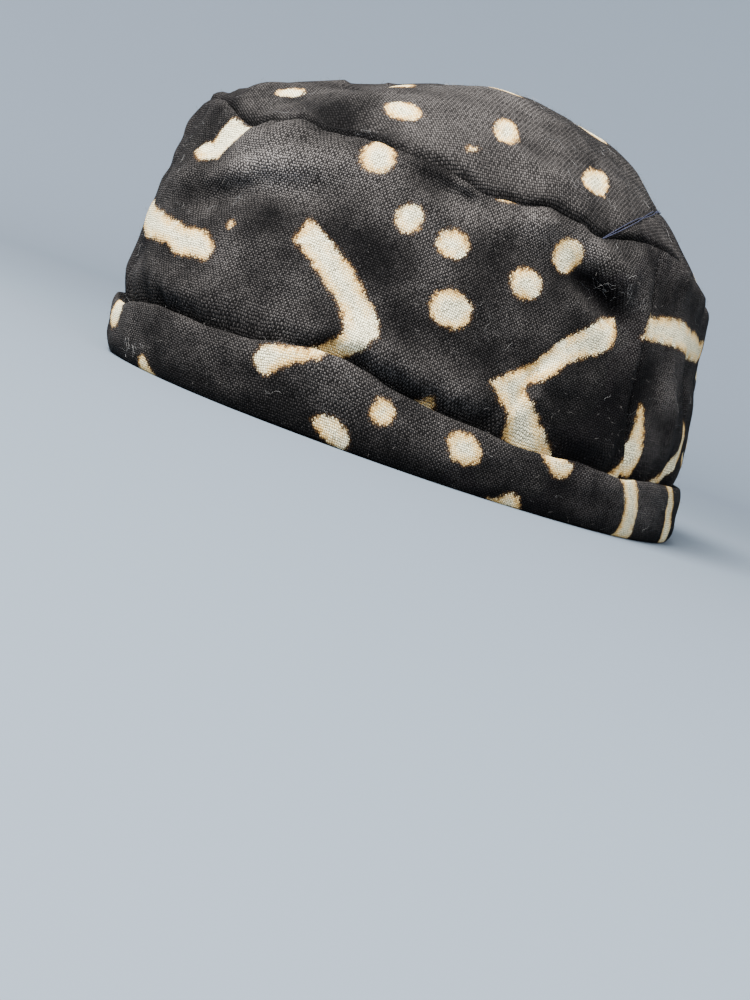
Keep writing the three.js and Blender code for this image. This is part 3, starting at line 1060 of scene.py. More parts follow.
@dataclass(frozen=True)
class BackdropPaper:
    """Finish of the pale backdrop, painted a little darker under the cap than on the sweep: painted shade on
    the floor round the cap and painted light out on the sweep.
    """

    name: str = "backdrop_paper"
    near: Colour = (0.104, 0.128, 0.158)
    far: Colour = (0.186, 0.224, 0.275)
    near_radius: float = 250.0
    far_radius: float = 1300.0

    def make(self) -> bpy.types.Material:
        """Build the material.

        Returns:
            The material, which reads Object coordinates.
        """
        desk = NodeDesk(self.name)
        place = desk.object_place()
        across = desk.part(place, 0)
        back = desk.part(place, 1)
        square = desk.add(desk.math("MULTIPLY", across, across), desk.math("MULTIPLY", back, back))
        radius = desk.math("SQRT", square)
        # A painted gradient of light: darker round the cap, lighter out on the sweep.
        share = desk.ramp(radius, self.near_radius, self.far_radius)
        desk.link(desk.colour_mixed(share, self.near, self.far), desk.shader.inputs["Base Color"])
        desk.shader.inputs["Roughness"].default_value = 1.0
        desk.shader.inputs["Specular IOR Level"].default_value = 0.1
        return desk.material


@dataclass
class ClothGrid:
    """A grid of cloth: rows go up the cloth and columns go round the cap."""

    points: Array
    flat: Array
    figure: Array
    fade: Array
    wraps_round: bool = False
    wraps_up: bool = False
    pole: bool = False

    def build(self, name: str, finish: bpy.types.Material) -> bpy.types.Object:
        """Make the mesh of the grid, with its UV map and attributes.

        Args:
            name: Name of the piece.
            finish: Material of the piece.

        Returns:
            The new object, at the origin.
        """
        rows, columns = self.points.shape[:2]
        row_count = rows if self.wraps_up else rows - 1
        column_count = columns if self.wraps_round else columns - 1
        row, column = np.meshgrid(np.arange(row_count), np.arange(column_count), indexing="ij")
        corner_rows = np.stack([row, row, row + 1, row + 1], -1)
        corner_columns = np.stack([column, column + 1, column + 1, column], -1)
        corners = (corner_rows % rows) * columns + corner_columns % columns
        faces = corners.reshape(-1, 4).tolist()
        places = self.flat[corner_rows, corner_columns].reshape(-1, 2)
        vertices = (self.points.reshape(-1, 3) * MM).tolist()
        values = {"figure": self.figure.ravel(), "fade": self.fade.ravel()}
        if self.pole:
            top = len(vertices)
            vertices.append((self.points[-1].mean(axis=0) * MM).tolist())
            last = (rows - 1) * columns
            fan = [[last + i, last + (i + 1) % columns, top] for i in range(columns)]
            faces += fan
            middle = self.flat[-1].mean(axis=0)
            ends = [[self.flat[-1, i], self.flat[-1, i + 1], middle] for i in range(columns)]
            places = np.concatenate([places, np.array(ends).reshape(-1, 2)])
            values = {key: np.append(value, value[-1]) for key, value in values.items()}
        mesh = bpy.data.meshes.new(name)
        mesh.from_pydata(vertices, [], faces)
        layer = mesh.uv_layers.new(name="cloth")
        layer.data.foreach_set("uv", (places * MM).astype(np.float32).ravel())
        for key, value in values.items():
            mesh.attributes.new(key, "FLOAT", "POINT").data.foreach_set("value", value.astype(np.float32))
        mesh.materials.append(finish)
        piece = bpy.data.objects.new(name, mesh)
        bpy.context.collection.objects.link(piece)
        return piece


def select_only(piece: bpy.types.Object) -> None:
    """Make one object the only selected one, and the active one."""
    bpy.ops.object.select_all(action="DESELECT")
    piece.select_set(True)
    bpy.context.view_layer.objects.active = piece


def thicken(piece: bpy.types.Object, thickness: float) -> None:
    """Give an open sheet its thickness on its inner side.

    Args:
        piece: The sheet.
        thickness: Thickness of the cloth in millimetres.
    """
    select_only(piece)
    modifier = piece.modifiers.new("thickness", "SOLIDIFY")
    modifier.thickness = thickness * MM
    modifier.offset = -1.0
    bpy.ops.object.modifier_apply(modifier=modifier.name)
    bpy.ops.object.shade_smooth_by_angle(angle=SMOOTH_BELOW)


def settle(piece: bpy.types.Object, nodes: tuple[str, ...]) -> None:
    """Tie a finished piece to the frame.

    Args:
        piece: The finished piece.
        nodes: CAD nodes that it stands for.
    """
    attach(piece, "root")
    if nodes:
        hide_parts(*nodes)
    LOG.info("%s: %d faces", piece.name, len(piece.data.polygons))


WALL_FOLDS: tuple[Fold, ...] = (
    Fold(((-43, 29),), 11.0, -2.2),
    Fold(((-42, 58),), 8.0, -1.3),
    Fold(((-43, 46),), 6.0, 0.4),
    Fold(((-40, 66),), 7.0, -0.8),
    Fold(((226, 52),), 11.0, -3.9),
    Fold(((239, 58),), 9.0, -1.6),
    Fold(((218, 33),), 9.0, -1.2),
    Fold(((226, 72),), 9.0, 1.2),
    Fold(((-30, 56), (-13.5, 60.6), (8, 66), (24, 71.5), (38, 75)), 6.5, 1.9),
    Fold(((-34, 50.5), (-10, 54.5), (9.5, 59.6), (24, 64), (40, 70)), 5.0, -1.2),
    Fold(((-8, 71), (4, 75.8), (14, 76.8), (22, 74.2)), 4.2, 1.5),
    Fold(((20, 84), (28.7, 84.6), (36, 83)), 3.2, -1.6, 0.5),
    Fold(((6, 80), (14, 82.4), (24, 81)), 3.6, 1.3),
    Fold(((52, 82), (61, 79.0), (72, 80.2), (82, 83.6)), 3.4, -1.5, 0.4),
    Fold(((60, 73), (76, 74), (90, 77.5), (98, 81)), 5.5, 1.5),
    Fold(((115.5, 71.4), (122, 70.2), (128, 68.0), (133, 66.0), (138, 64.6)), 2.5, -3.0, 0.6),
    Fold(((136.5, 73), (139, 69.6), (141.5, 66)), 1.7, -0.9, 0.4),
    Fold(((116, 80.5), (124, 78.4), (132, 75), (139, 70.6)), 4.2, 2.2),
    Fold(((112.5, 45), (109.6, 41), (107.4, 34), (105.7, 27)), 1.5, -1.0, 0.7),
    Fold(((116.5, 44), (113, 39), (110.6, 33), (109, 26)), 2.4, 0.9),
    Fold(((114, 63.5), (122, 60.5), (130, 57)), 4.2, 1.4),
    Fold(((168, 84), (190, 83), (214, 81), (232, 80)), 5.0, 2.2),
    Fold(((94, 47), (103, 41), (110, 37.4), (117, 35.0), (126, 35.6)), 2.6, -1.1, 0.6),
    Fold(((98, 38), (108, 33.0), (118, 30.4)), 2.6, 0.9, 0.4),
    Fold(((66, 26), (80, 24.4), (92, 25)), 3.4, 1.3),
    Fold(((-4, 25), (8.7, 24.4), (22, 25)), 3.2, 0.9),
    Fold(((130, 24.5), (138.7, 24.2), (147, 25.2)), 3.2, 1.2),
    Fold(((60, 40), (74, 36), (92, 37), (104, 44)), 5.0, -0.8),
    Fold(((12, 40), (26, 34), (40, 33)), 5.0, -0.7),
    Fold(((-30, 30), (-10, 29), (14, 30)), 4.0, 0.8),
    Fold(((144, 82), (147, 66), (146, 50)), 3.6, 1.1),
    Fold(((160, 56), (166, 48), (170, 36)), 3.8, -1.2),
    Fold(((176, 52), (182, 42), (183, 28)), 4.2, 1.3),
    Fold(((192, 60), (197, 52.0), (201, 42)), 3.4, -1.6, 0.4),
    Fold(((212, 56), (215, 40), (212, 27)), 4.4, 1.4),
    Fold(((236, 78), (247, 60), (250, 44)), 5.0, -1.2),
    Fold(((264, 34), (280, 30), (296, 33)), 4.8, 1.2),
    Fold(((288, 62), (302, 56), (317, 57)), 4.6, -1.1, 0.3),
    Fold(((-306, 76), (-292, 70), (-280, 72)), 4.6, 1.3),
    Fold(((-284, 50), (-270, 46), (-256, 50)), 4.4, -1.2, 0.3),
    Fold(((-248, 80), (-238, 66), (-236, 50)), 5.0, 1.2),
    Fold(((-222, 30), (-206, 27), (-190, 30)), 4.2, 1.2),
    Fold(((-208, 64), (-194, 58), (-180, 60)), 4.2, -1.3, 0.4),
    Fold(((-168, 78), (-156, 74), (-142, 78)), 4.2, 1.4),
    Fold(((-150, 56), (-138, 48), (-126, 46)), 4.2, -1.1, 0.3),
    Fold(((-132, 28), (-116, 25), (-100, 28)), 3.6, 1.2),
    Fold(((-112, 74), (-98, 70), (-84, 74)), 4.6, -1.3, 0.3),
    Fold(((-88, 48), (-76, 44), (-60, 46)), 4.6, 1.0),
    Fold(((-70, 80), (-60, 76), (-48, 77)), 4.0, 1.3),
    Fold(((-60, 66), (-48, 62), (-36, 60)), 4.0, -1.1),
    Fold(((-58, 27), (-44, 25), (-30, 27)), 3.4, 1.0),
)


@dataclass(frozen=True)
class FadeAndShadePatch:
    """A patch that makes the cloth lighter or darker: partly paled dye and dye that stayed deep, partly
    painted light and painted shade.
    """

    at: Place
    across: float
    tall: float
    amount: float


# Some rows are painted light and shade: the lighter rows at (14, 68), (-4, 74), (36, 75) and (92, 79) are
# painted light on the upward-facing ridges under the crown's seam, the darker rows at (124, 69.6) and (133,
# 66) are painted shade in the crease there, and the row at (130, 33) is painted shade where the wall turns
# down and away from the light. The other rows make the cloth lighter or darker in patches.
WALL_FADE_AND_SHADE: tuple[FadeAndShadePatch, ...] = (
    # Painted light on the upward-facing ridge under the crown's seam, as in the rows at (-4, 74) and (36,
    # 75).
    FadeAndShadePatch((14, 68), 17, 7, 0.60),
    FadeAndShadePatch((-4, 74), 14, 5, 0.16),
    FadeAndShadePatch((-22, 60), 18, 10, -0.10),
    FadeAndShadePatch((36, 75), 16, 5, 0.22),
    FadeAndShadePatch((8, 34), 26, 9, 0.03),
    FadeAndShadePatch((62, 50), 24, 12, -0.05),
    FadeAndShadePatch((28, 36), 20, 10, 0.11),
    FadeAndShadePatch((26, 55), 22, 8, -0.07),
    # Painted light on the ridge under the crown's seam.
    FadeAndShadePatch((92, 79), 24, 5, 0.30),
    FadeAndShadePatch((68, 72), 20, 6, 0.10),
    FadeAndShadePatch((78, 28), 26, 7, 0.22),
    # Painted shade where the wall turns down and away from the light.
    FadeAndShadePatch((130, 33), 18, 13, -0.28),
    FadeAndShadePatch((150, 44), 9, 22, -0.10),
    # Painted shade in the crease, with the next row.
    FadeAndShadePatch((124, 69.6), 8, 3.2, -0.26),
    FadeAndShadePatch((133, 66), 6, 3.2, -0.18),
    FadeAndShadePatch((132, 78), 14, 6, 0.10),
    FadeAndShadePatch((176, 54), 16, 22, 0.15),
    FadeAndShadePatch((192, 30), 20, 10, -0.12),
    FadeAndShadePatch((240, 66), 30, 14, 0.15),
    FadeAndShadePatch((285, 44), 26, 14, -0.08),
    FadeAndShadePatch((-286, 62), 28, 14, 0.18),
    FadeAndShadePatch((-240, 40), 26, 14, -0.06),
    FadeAndShadePatch((-196, 70), 30, 10, 0.2),
    FadeAndShadePatch((-150, 44), 26, 14, -0.08),
    FadeAndShadePatch((-100, 66), 30, 12, 0.2),
    FadeAndShadePatch((-64, 40), 26, 14, -0.05),
)

# Patches that make the roll lighter or darker.
HEM_TONE_PATCHES: tuple[FadeAndShadePatch, ...] = (
    FadeAndShadePatch((-18, 10), 34, 9, 0.10),
    FadeAndShadePatch((60, 14), 34, 6, 0.10),
    FadeAndShadePatch((128, 8), 26, 12, -0.02),
    FadeAndShadePatch((178, 11), 24, 12, 0.29),
    FadeAndShadePatch((140, 8), 16, 12, 0.05),
    FadeAndShadePatch((-120, 12), 40, 9, 0.12),
    FadeAndShadePatch((-220, 8), 40, 9, -0.08),
    FadeAndShadePatch((270, 12), 40, 9, 0.10),
)


def faded(patches: tuple[FadeAndShadePatch, ...], round_mm: Array, up_mm: Array, length_round: float) -> Array:
    """Add up the patches, which make the cloth lighter or darker, partly as paled dye and partly as painted
    light and shade.

    Args:
        patches: The charted patches.
        round_mm: Place round the cap.
        up_mm: Place up the cloth.
        length_round: Length once round.

    Returns:
        How much lighter the cloth is, negative where it is darker.
    """
    total = np.zeros(np.broadcast(round_mm, up_mm).shape)
    for patch in patches:
        near = offset_from(round_mm, patch.at[0], length_round) / patch.across
        total += patch.amount * np.exp(-near ** 2 - ((up_mm - patch.at[1]) / patch.tall) ** 2)
    return total


@dataclass
class SideBand:
    """The tall band of cloth between the hem and the crown, joined at the wearer's left.

    Each row of foot_recess holds an angle in degrees and how far the band's foot lies in behind
    the hem there, and each row of seam_lean a height and where round the cap the joining seam is.
    """

    form: CapForm
    steps_round: int = 600
    steps_up: int = 80
    foot: float = 21.0
    head: float = 86.0
    joint_radius: float = 85.0
    swell: float = 0.42
    crumple: float = 0.13
    head_pucker: float = 0.16
    foot_pucker: float = 0.42
    rolled_edge: float = 0.75
    foot_drop: float = 0.9
    fade: float = 0.150
    foot_recess: tuple[Place, ...] = (
        (0, 1.8), (25, 1.5), (60, 1.7), (120, 1.4), (180, 1.8), (230, 1.8), (250, 3.0), (264, 3.3),
        (280, 2.2), (296, 2.0), (304, 3.6), (318, 4.6), (331, 3.4), (340, 1.9), (348, 1.6))
    seam_lean: tuple[Place, ...] = (
        (20.0, 162.0), (28.0, 157.4), (38.0, 152.4), (50.0, 149.4), (60.0, 150.0), (70.0, 152.6),
        (90.0, 152.8))
    blouse_folds: tuple[Swell, ...] = (
        Swell(279, .88, .22, .07, 2, .5), Swell(275, .74, .24, .045, 10, .3),
        Swell(272, .62, .26, .06, 10, -.5), Swell(311, .9, .14, .06, -4, -.5),
        Swell(326, .93, .12, .05, -2, .3), Swell(341, .72, .16, .07, -30, -1.15),
        Swell(347, .88, .12, .09, -20, .7), Swell(334, .3, .12, .05, 60, -.3),
        Swell(312, .1, .32, .07, -2, .6), Swell(268, .09, .26, .06, 0, .35),
        Swell(347, .12, .12, .07, 6, .45), Swell(21, .56, .14, .07, 4, -.6),
        Swell(52, .82, .18, .07, 18, -.55), Swell(78, .14, .26, .06, 0, .4),
        Swell(104, .6, .2, .07, -24, -.6), Swell(126, .84, .16, .07, 10, .5),
        Swell(158, .3, .18, .06, 35, -.4), Swell(186, .76, .2, .07, 14, -.7),
        Swell(203, .12, .3, .06, 0, .45), Swell(226, .55, .18, .07, -22, -.5))

    def seam_round(self, up: Array) -> Array:
        """Return where round the cap the joining seam runs at a height."""
        heights, places = np.array(self.seam_lean).T
        return np.interp(up, heights, places)

    def distance_to_joint(self, round_mm: Array, up: Array, length: float) -> Array:
        """Return the distance round the cap from the joining seam, positive past it."""
        return offset_from(round_mm, self.seam_round(up), length)

    def angles(self, share: Array) -> Array:
        """Return the angle of each point, once round from the joining seam.

        Args:
            share: Share of the way up, a row for each row of points.

        Returns:
            Angles in radians, with the first and last columns half a gap off the seam.
        """
        fine = np.linspace(0.0, 2.0 * TURN, 4001)
        seam = self.seam_round(self.foot + (self.head - self.foot) * share)
        start = np.interp(seam, self.form.round_from_front(fine), fine)
        gap = self.form.joint_gap / self.joint_radius
        along = np.linspace(0.0, 1.0, self.steps_round + 1)[None, :]
        return start + gap / 2.0 + along * (TURN - gap)

    def main_folds(self, angle: Array, share: Array, rise: Array) -> Array:
        """Return the swell of the part's own folds, which die out at the band's two edges.

        Args:
            angle: Angle of each point.
            share: Its share of the way up.
            rise: Height of the band there.

        Returns:
            Lift in millimetres.
        """
        total = sum(fold.raised(self.form, angle, share, 1.0, rise) for fold in self.blouse_folds)
        return total * np.minimum(1.0, np.minimum(share / 0.08, (1.0 - share) / 0.06)).clip(0.0, 1.0)

    def joint_relief(self, round_mm: Array, up: Array, length: float) -> Array:
        """Return how deep the cloth sinks at the joining seam, more past it than before it.

        Args:
            round_mm: Place of each point round the cap.
            up: Its height.
            length: Length once round.

        Returns:
            Depth in millimetres.
        """
        beside = self.distance_to_joint(round_mm, up, length)
        past = 1.5 * np.exp(-(beside / 1.7) ** 2) + 0.9 * np.exp(-(beside / 11.0) ** 2)
        before = 1.2 * np.exp(-(beside / 1.2) ** 2) - 0.5 * np.exp(-((beside + 3.0) / 3.0) ** 2)
        return np.where(beside > 0.0, past, before)

    def relief(self, angle: Array, up: Array, fine: Array, from_foot: Array, from_head: Array) -> Array:
        """Return the lift of all that is finer than the part's own folds, but the joining seam.

        Args:
            angle: Angle of each point.
            up: Its height, which is not used.
            fine: Lift of the charted folds and the small swells.
            from_foot: Height over the groove.
            from_head: Depth under the crown's seam.

        Returns:
            Lift in millimetres.
        """
        held = np.minimum(1.0, np.minimum(from_foot / 5.0, from_head / 4.0))
        level = 0.0 * angle
        head_pucker = self.head_pucker * ripples(angle, level, 5.0, 9.0, 13, 18) * np.exp(-from_head / 4.0)
        foot_pucker = self.foot_pucker * ripples(angle, level, 6.0, 12.0, 14, 18)
        foot_pucker = foot_pucker * np.exp(-((from_foot - 2.5) / 4.5) ** 2)
        rolled = self.rolled_edge * np.exp(-(from_head / 1.3) ** 2)
        return fine * (0.25 + 0.75 * held) + head_pucker + foot_pucker - rolled

    def grid(self) -> ClothGrid:
        """Shape the outer face of the band.

        Returns:
            The grid, whose first and last columns meet at the joining seam.
        """
        form = self.form
        rows = (np.linspace(0.0, 1.0, self.steps_up + 1) ** 0.95)[:, None]
        share = rows + np.zeros((1, self.steps_round + 1))
        angle = self.angles(share)
        points = form.wall(angle, share)
        rise = form.seam(angle)[..., 2] - form.groove(angle)
        up = points[..., 2]
        round_mm = form.round_from_front(angle)
        length = form.length_round()
        outward = form.outward(angle)
        points = points + outward * self.main_folds(angle, share, rise)[..., None]
        normal = surface_normals(points, False)
        from_foot = share * rise
        from_head = (1.0 - share) * rise
        fine = sum(fold.raised(round_mm, up, length) for fold in WALL_FOLDS)
        swell_held = 0.35 + 0.65 * eased(from_foot / 14.0)
        fine = fine + self.swell * ripples(angle, up, 22.0, 60.0, 11) * swell_held
        fine = fine + self.crumple * ripples(angle, up, 7.0, 19.0, 12)
        lift = self.relief(angle, up, fine, from_foot, from_head)
        lift = lift - self.joint_relief(round_mm, up, length) * np.minimum(1.0, from_head / 3.0)
        points = points + normal * lift[..., None]
        recess = charted(self.foot_recess, np.degrees(angle)) * np.exp(-(from_foot / 4.2) ** 1.8)
        points = points - outward * recess[..., None]
        points[..., 2] -= (self.foot_drop - lip_lift(angle)) * np.exp(-(from_foot / 4.5) ** 2)
        figure = figure_distance(WALL_FIGURES, round_mm, up, length)
        # The cloth is lighter on ridges, as worn cloth is, and darker in troughs, a painted shade in the
        # creases; just above the groove it is darker still, a painted shade in the recess behind the hem's
        # lip.
        fade = self.fade + faded(WALL_FADE_AND_SHADE, round_mm, up, length) + 0.10 * np.clip(fine / 2.0, -1.0, 1.0)
        fade = fade + 0.05 * ripples(angle, up, 14.0, 40.0, 15) - 0.22 * np.exp(-from_foot / 3.0)
        flat = np.stack([round_mm, from_foot * 1.04 + 20.0], axis=-1)
        return ClothGrid(points, flat, figure, fade)

    def build(self, finish: bpy.types.Material) -> ClothGrid:
        """Make the band and tie it to the frame.

        Args:
            finish: Material of the cloth.

        Returns:
            The band's grid, on which lint is laid.
        """
        grid = self.grid()
        piece = grid.build("wall_cloth", finish)
        thicken(piece, self.form.cloth)
        settle(piece, ("side_band",))
        return grid


@dataclass
class HemRoll:
    """The hem: the cloth turned up into a soft round roll with a flat foot.

    Each point of the section holds millimetres out from the opening and a share of the height.
    Each row of foot_lift holds an angle in degrees and how far the foot is off the ground there.
    """

    form: CapForm
    steps_round: int = 600
    section: tuple[Place, ...] = (
        (4.1, 0.0), (4.7, 0.05), (5.25, 0.13), (5.6, 0.27), (5.75, 0.42), (5.75, 0.58), (5.65, 0.74),
        (5.4, 0.88), (4.9, 0.975), (4.1, 1.02), (3.3, 0.99), (2.7, 0.93), (2.2, 0.91), (1.2, 0.90),
        (0.6, 0.86), (0.35, 0.7), (0.3, 0.5), (0.35, 0.3), (0.5, 0.1), (0.8, 0.0), (1.6, 0.0), (2.6, 0.0),
        (3.4, 0.0))
    foot_lift: tuple[Place, ...] = (
        (0, 0.0), (14, 0.3), (28, 0.5), (50, 0.1), (110, 0.4), (150, 0.0), (200, 0.4), (240, 0.0),
        (284, 0.0), (293, 0.3), (301, 0.4), (309, 0.2), (316, 0.0))
    swell: float = 0.38
    crumple: float = 0.14
    fade: float = 0.080

    def smooth_section(self) -> Array:
        """Return the section's points after each of its corners is cut once."""
        points = np.array(self.section)
        after = np.roll(points, -1, axis=0)
        return np.stack([points * 0.75 + after * 0.25, points * 0.25 + after * 0.75], axis=1).reshape(-1, 2)

    def lengths_along(self, section: Array) -> Array:
        """Return the millimetres gone round the section at each point, and once round at last."""
        in_mm = section * np.array([1.0, self.form.hem_height])
        steps = np.roll(in_mm, -1, axis=0) - in_mm
        return np.append(0.0, np.cumsum(np.hypot(*steps.T)))

    def grid(self) -> ClothGrid:
        """Shape the hem.

        Returns:
            The grid, closed round the cap and round its section.
        """
        form = self.form
        section = self.smooth_section()
        rows = len(section)
        angle = (np.arange(self.steps_round) / self.steps_round * TURN)[None, :] + np.zeros((rows, 1))
        out = section[:, :1] + 0.0 * angle
        share = section[:, 1:] + 0.0 * angle
        top = form.groove(angle) + lip_lift(angle)
        foot = charted(self.foot_lift, np.degrees(angle))
        up = share * top + foot * (1.0 - share) ** 3
        outer = eased((out - 2.8) / 2.4)
        middle = np.sin(math.pi * np.clip(share, 0.0, 1.0))
        puff = self.swell * ripples(angle, up * 0.8, 16.0, 70.0, 21)
        puff = puff + self.crumple * ripples(angle, up, 6.0, 14.0, 22)
        out = out + outer * puff * (0.35 + 0.65 * middle)
        points = form.opening(angle, out, up)
        round_mm = form.round_from_front(angle)
        length = form.length_round()
        closing = np.concatenate([round_mm, round_mm[:, :1] + length], axis=1)
        closing = np.concatenate([closing, closing[:1]], axis=0)
        flat = np.stack([closing, self.lengths_along(section)[:, None] + 0.0 * closing], axis=-1)
        inner = eased((2.6 - out) / 1.2)
        figure = figure_distance(HEM_FIGURES, round_mm, up, length) + inner * 9.0
        fade = self.fade + faded(HEM_TONE_PATCHES, round_mm, up, length)
        # The roll is painted lighter on its upper outer face, a painted highlight where its top faces the
        # light; lighter where it swells out, as worn cloth is, and darker where it sinks in, a painted
        # shade; and darker towards its foot, a painted shade near the floor.
        fade = fade + 0.12 * outer * eased((share - 0.6) / 0.3)
        fade = fade + 0.10 * puff - 0.16 * eased((0.38 - share) / 0.3)
        return ClothGrid(points, flat, figure, fade, wraps_round=True, wraps_up=True)

    def build(self, finish: bpy.types.Material) -> ClothGrid:
        """Make the hem and tie it to the frame.

        Args:
            finish: Material of the cloth.

        Returns:
            The hem's grid, on which lint is laid.
        """
        grid = self.grid()
        piece = grid.build("hem_roll", finish)
        select_only(piece)
        bpy.ops.object.shade_smooth()
        settle(piece, ("hem_band",))
        return grid


CROWN_SETTLE: tuple[Fold, ...] = (
    Fold(((-40, -94), (-38, -90)), 9.0, -1.6),
    Fold(((-28, -96), (-20, -93)), 10.0, 1.6),
    Fold(((-18, -66), (-9, -56)), 21.0, -3.4),
    Fold(((-12, -44),), 14.0, -1.6),
    Fold(((21, -38),), 12.0, 1.7),
    Fold(((24, -4),), 12.0, -1.4),
    Fold(((36, 6),), 12.0, -2.0),
    Fold(((45, 14),), 12.0, -1.6),
    Fold(((64, 19),), 11.0, -2.4),
    Fold(((74, 22),), 9.0, -3.2),
    Fold(((54, 34), (61, 44), (66, 54)), 9.0, -4.4),
    Fold(((20, 14),), 14.0, -1.1),
    Fold(((-26, -38),), 9.0, -1.1),
    Fold(((18, -99), (31, -93)), 5.0, -5.6),
)

CROWN_FOLDS: tuple[Swell, ...] = (
    Swell(286, .93, .16, .07, 0, -.8), Swell(268, .82, .16, .1, 0, .35), Swell(318, .9, .2, .07, 0, .3),
    Swell(352, .86, .14, .08, 10, -.35), Swell(62, .8, .2, .08, 12, -.6), Swell(112, .7, .24, .09, -10, -.5),
    Swell(172, .86, .2, .08, 0, -.6), Swell(222, .84, .18, .08, 8, -.5))

# Patches that make the crown lighter or darker; the row at (22, -96) is painted shade.
CROWN_FADE_AND_SHADE: tuple[FadeAndShadePatch, ...] = (
    FadeAndShadePatch((42, -78), 20, 16, 0.16),
    FadeAndShadePatch((30, -50), 22, 18, 0.08),
    FadeAndShadePatch((75, -16), 12, 16, -0.12),
    FadeAndShadePatch((-16, -102), 20, 12, -0.14),
    # Painted shade in the deep pocket where the crown dives in under the wall's edge.
    FadeAndShadePatch((22, -96), 13, 6, -0.46),
    FadeAndShadePatch((56, 8), 16, 20, 0.06),
    FadeAndShadePatch((-30, 40), 34, 26, 0.08),
    FadeAndShadePatch((20, 70), 26, 20, -0.06),
)


@dataclass
class Crown:
    """The round top of the cap, which a narrow strip of the same cloth completes."""

    form: CapForm
    steps_round: int = 480
    steps_out: int = 78
    innermost: float = 0.02
    seam_groove: float = 0.75
    seam_width: float = 1.2
    tuck_in: float = 1.0
    tuck_down: float = 1.5
    swell: float = 0.125
    pucker: float = 0.16
    edge_fold: float = 0.4
    rolled_edge: float = 1.3
    # The crown's base is paler than the band's: partly the cloth's dustier tone, partly a painted sheen on
    # its upward-facing top.
    fade: float = 0.250

    def grid(self) -> ClothGrid:
        """Shape the outer face of the whole crown.

        Returns:
            The grid, closed round the cap and at the peak.
        """
        form = self.form
        share = np.linspace(1.0, self.innermost, self.steps_out)[:, None]
        angle = (np.arange(self.steps_round) / self.steps_round * TURN)[None, :] + 0.0 * share
        out = (1.0 - (1.0 - share) ** 1.18) + 0.0 * angle
        points = form.crown(angle, out)
        lift = sum(fold.raised(form, angle, out, out, -MEAN_RADIUS) for fold in CROWN_FOLDS)
        way = form.outward(angle)
        way[..., 2] = 1.0
        way /= np.linalg.norm(way, axis=2, keepdims=True)
        points = points + way * (lift * np.minimum(1.0, (1.0 - out) / 0.04))[..., None]
        normal = surface_normals(points, True)
        steps = np.linalg.norm(np.diff(points, axis=0), axis=2)
        from_edge = np.concatenate([np.zeros((1, self.steps_round)), np.cumsum(steps, axis=0)])
        to_peak = from_edge[-1:] - from_edge + 2.0 + 1.8 * np.exp(-from_edge ** 2)
        edge = form.seam(angle[0])
        toward = edge[:, :2] - np.array([form.peak_left, form.peak_back])
        toward /= np.linalg.norm(toward, axis=1, keepdims=True)
        flat = to_peak[..., None] * toward[None]
        fine = self.relief(angle, flat, from_edge)
        held = np.minimum(1.0, from_edge / 5.0)
        for fold in CROWN_SETTLE:
            fine = fine + fold.raised(points[..., 0], points[..., 1], NO_REPEAT) * held
        points = points + normal * fine[..., None]
        groove = self.seam_groove * np.exp(-(form.past_strip_seam(points) / self.seam_width) ** 2)
        points = points - normal * (groove * np.minimum(1.0, from_edge / 3.0))[..., None]
        tucked = np.exp(-from_edge ** 2)
        points = points - form.outward(angle) * (self.tuck_in * tucked)[..., None]
        points[..., 2] -= self.tuck_down * tucked
        figures = CROWN_FIGURES + CrownLattice().dots()
        figure = figure_distance(figures, flat[..., 0], flat[..., 1], 0.0)
        closing = np.concatenate([flat, flat[:, :1]], axis=1)
        fade = self.fade + faded(CROWN_FADE_AND_SHADE, points[..., 0], points[..., 1], NO_REPEAT)
        # The crown is lighter on its swells, as worn cloth is, and darker in its hollows, a painted shade; a
        # painted shadow runs along the seam at its edge.
        fade = fade + 0.07 * np.clip(fine, -1.0, 1.0)
        fade = fade - 0.20 * np.exp(-from_edge / 1.8)
        return ClothGrid(points, closing, figure, fade, wraps_round=True, pole=True)

    def relief(self, angle: Array, flat: Array, from_edge: Array) -> Array:
        """Return the fine swells, the puckers along the seam and its rolled edge.

        Args:
            angle: Angle of each point.
            flat: Cloth coordinates from the peak.
            from_edge: Distance in from the seam.

        Returns:
            Lift in millimetres.
        """
        chance = np.random.default_rng(31)
        shortest, longest = 18.0, 70.0
        swell = np.zeros(angle.shape)
        for _ in range(40):
            length = shortest * (longest / shortest) ** chance.random()
            way = chance.random() * math.pi
            phase = (flat[..., 0] * math.cos(way) + flat[..., 1] * math.sin(way)) / length * TURN
            swell += (length / longest) ** WAVE_FALL * np.cos(phase + chance.random() * TURN)
        level = 0.0 * angle
        pucker = self.pucker * ripples(angle, level, 5.0, 9.0, 33, 18) * np.exp(-from_edge / 5.0)
        fold = self.edge_fold * ripples(angle, level, 14.0, 40.0, 34, 18)
        fold = fold * np.exp(-((from_edge - 8.0) / 9.0) ** 2)
        return self.swell * swell + pucker + fold - self.rolled_edge * np.exp(-(from_edge / 1.8) ** 2)

    def build(self, finish: bpy.types.Material, strip_finish: bpy.types.Material) -> ClothGrid:
        """Make the crown's two pieces and tie them to the frame.

        Args:
            finish: Material of the main piece.
            strip_finish: Material of the strip, whose threads run another way.

        Returns:
            The crown's grid, on which lint and the thread are laid.
        """
        grid = self.grid()
        for name, node, material, outside in (
                ("crown_cloth", "crown_panel", finish, False),
                ("crown_strip", "crown_edge_strip", strip_finish, True)):
            piece = grid.build(name, material)
            self.cut(piece, outside)
            thicken(piece, self.form.cloth)
            settle(piece, (node,))
        return grid

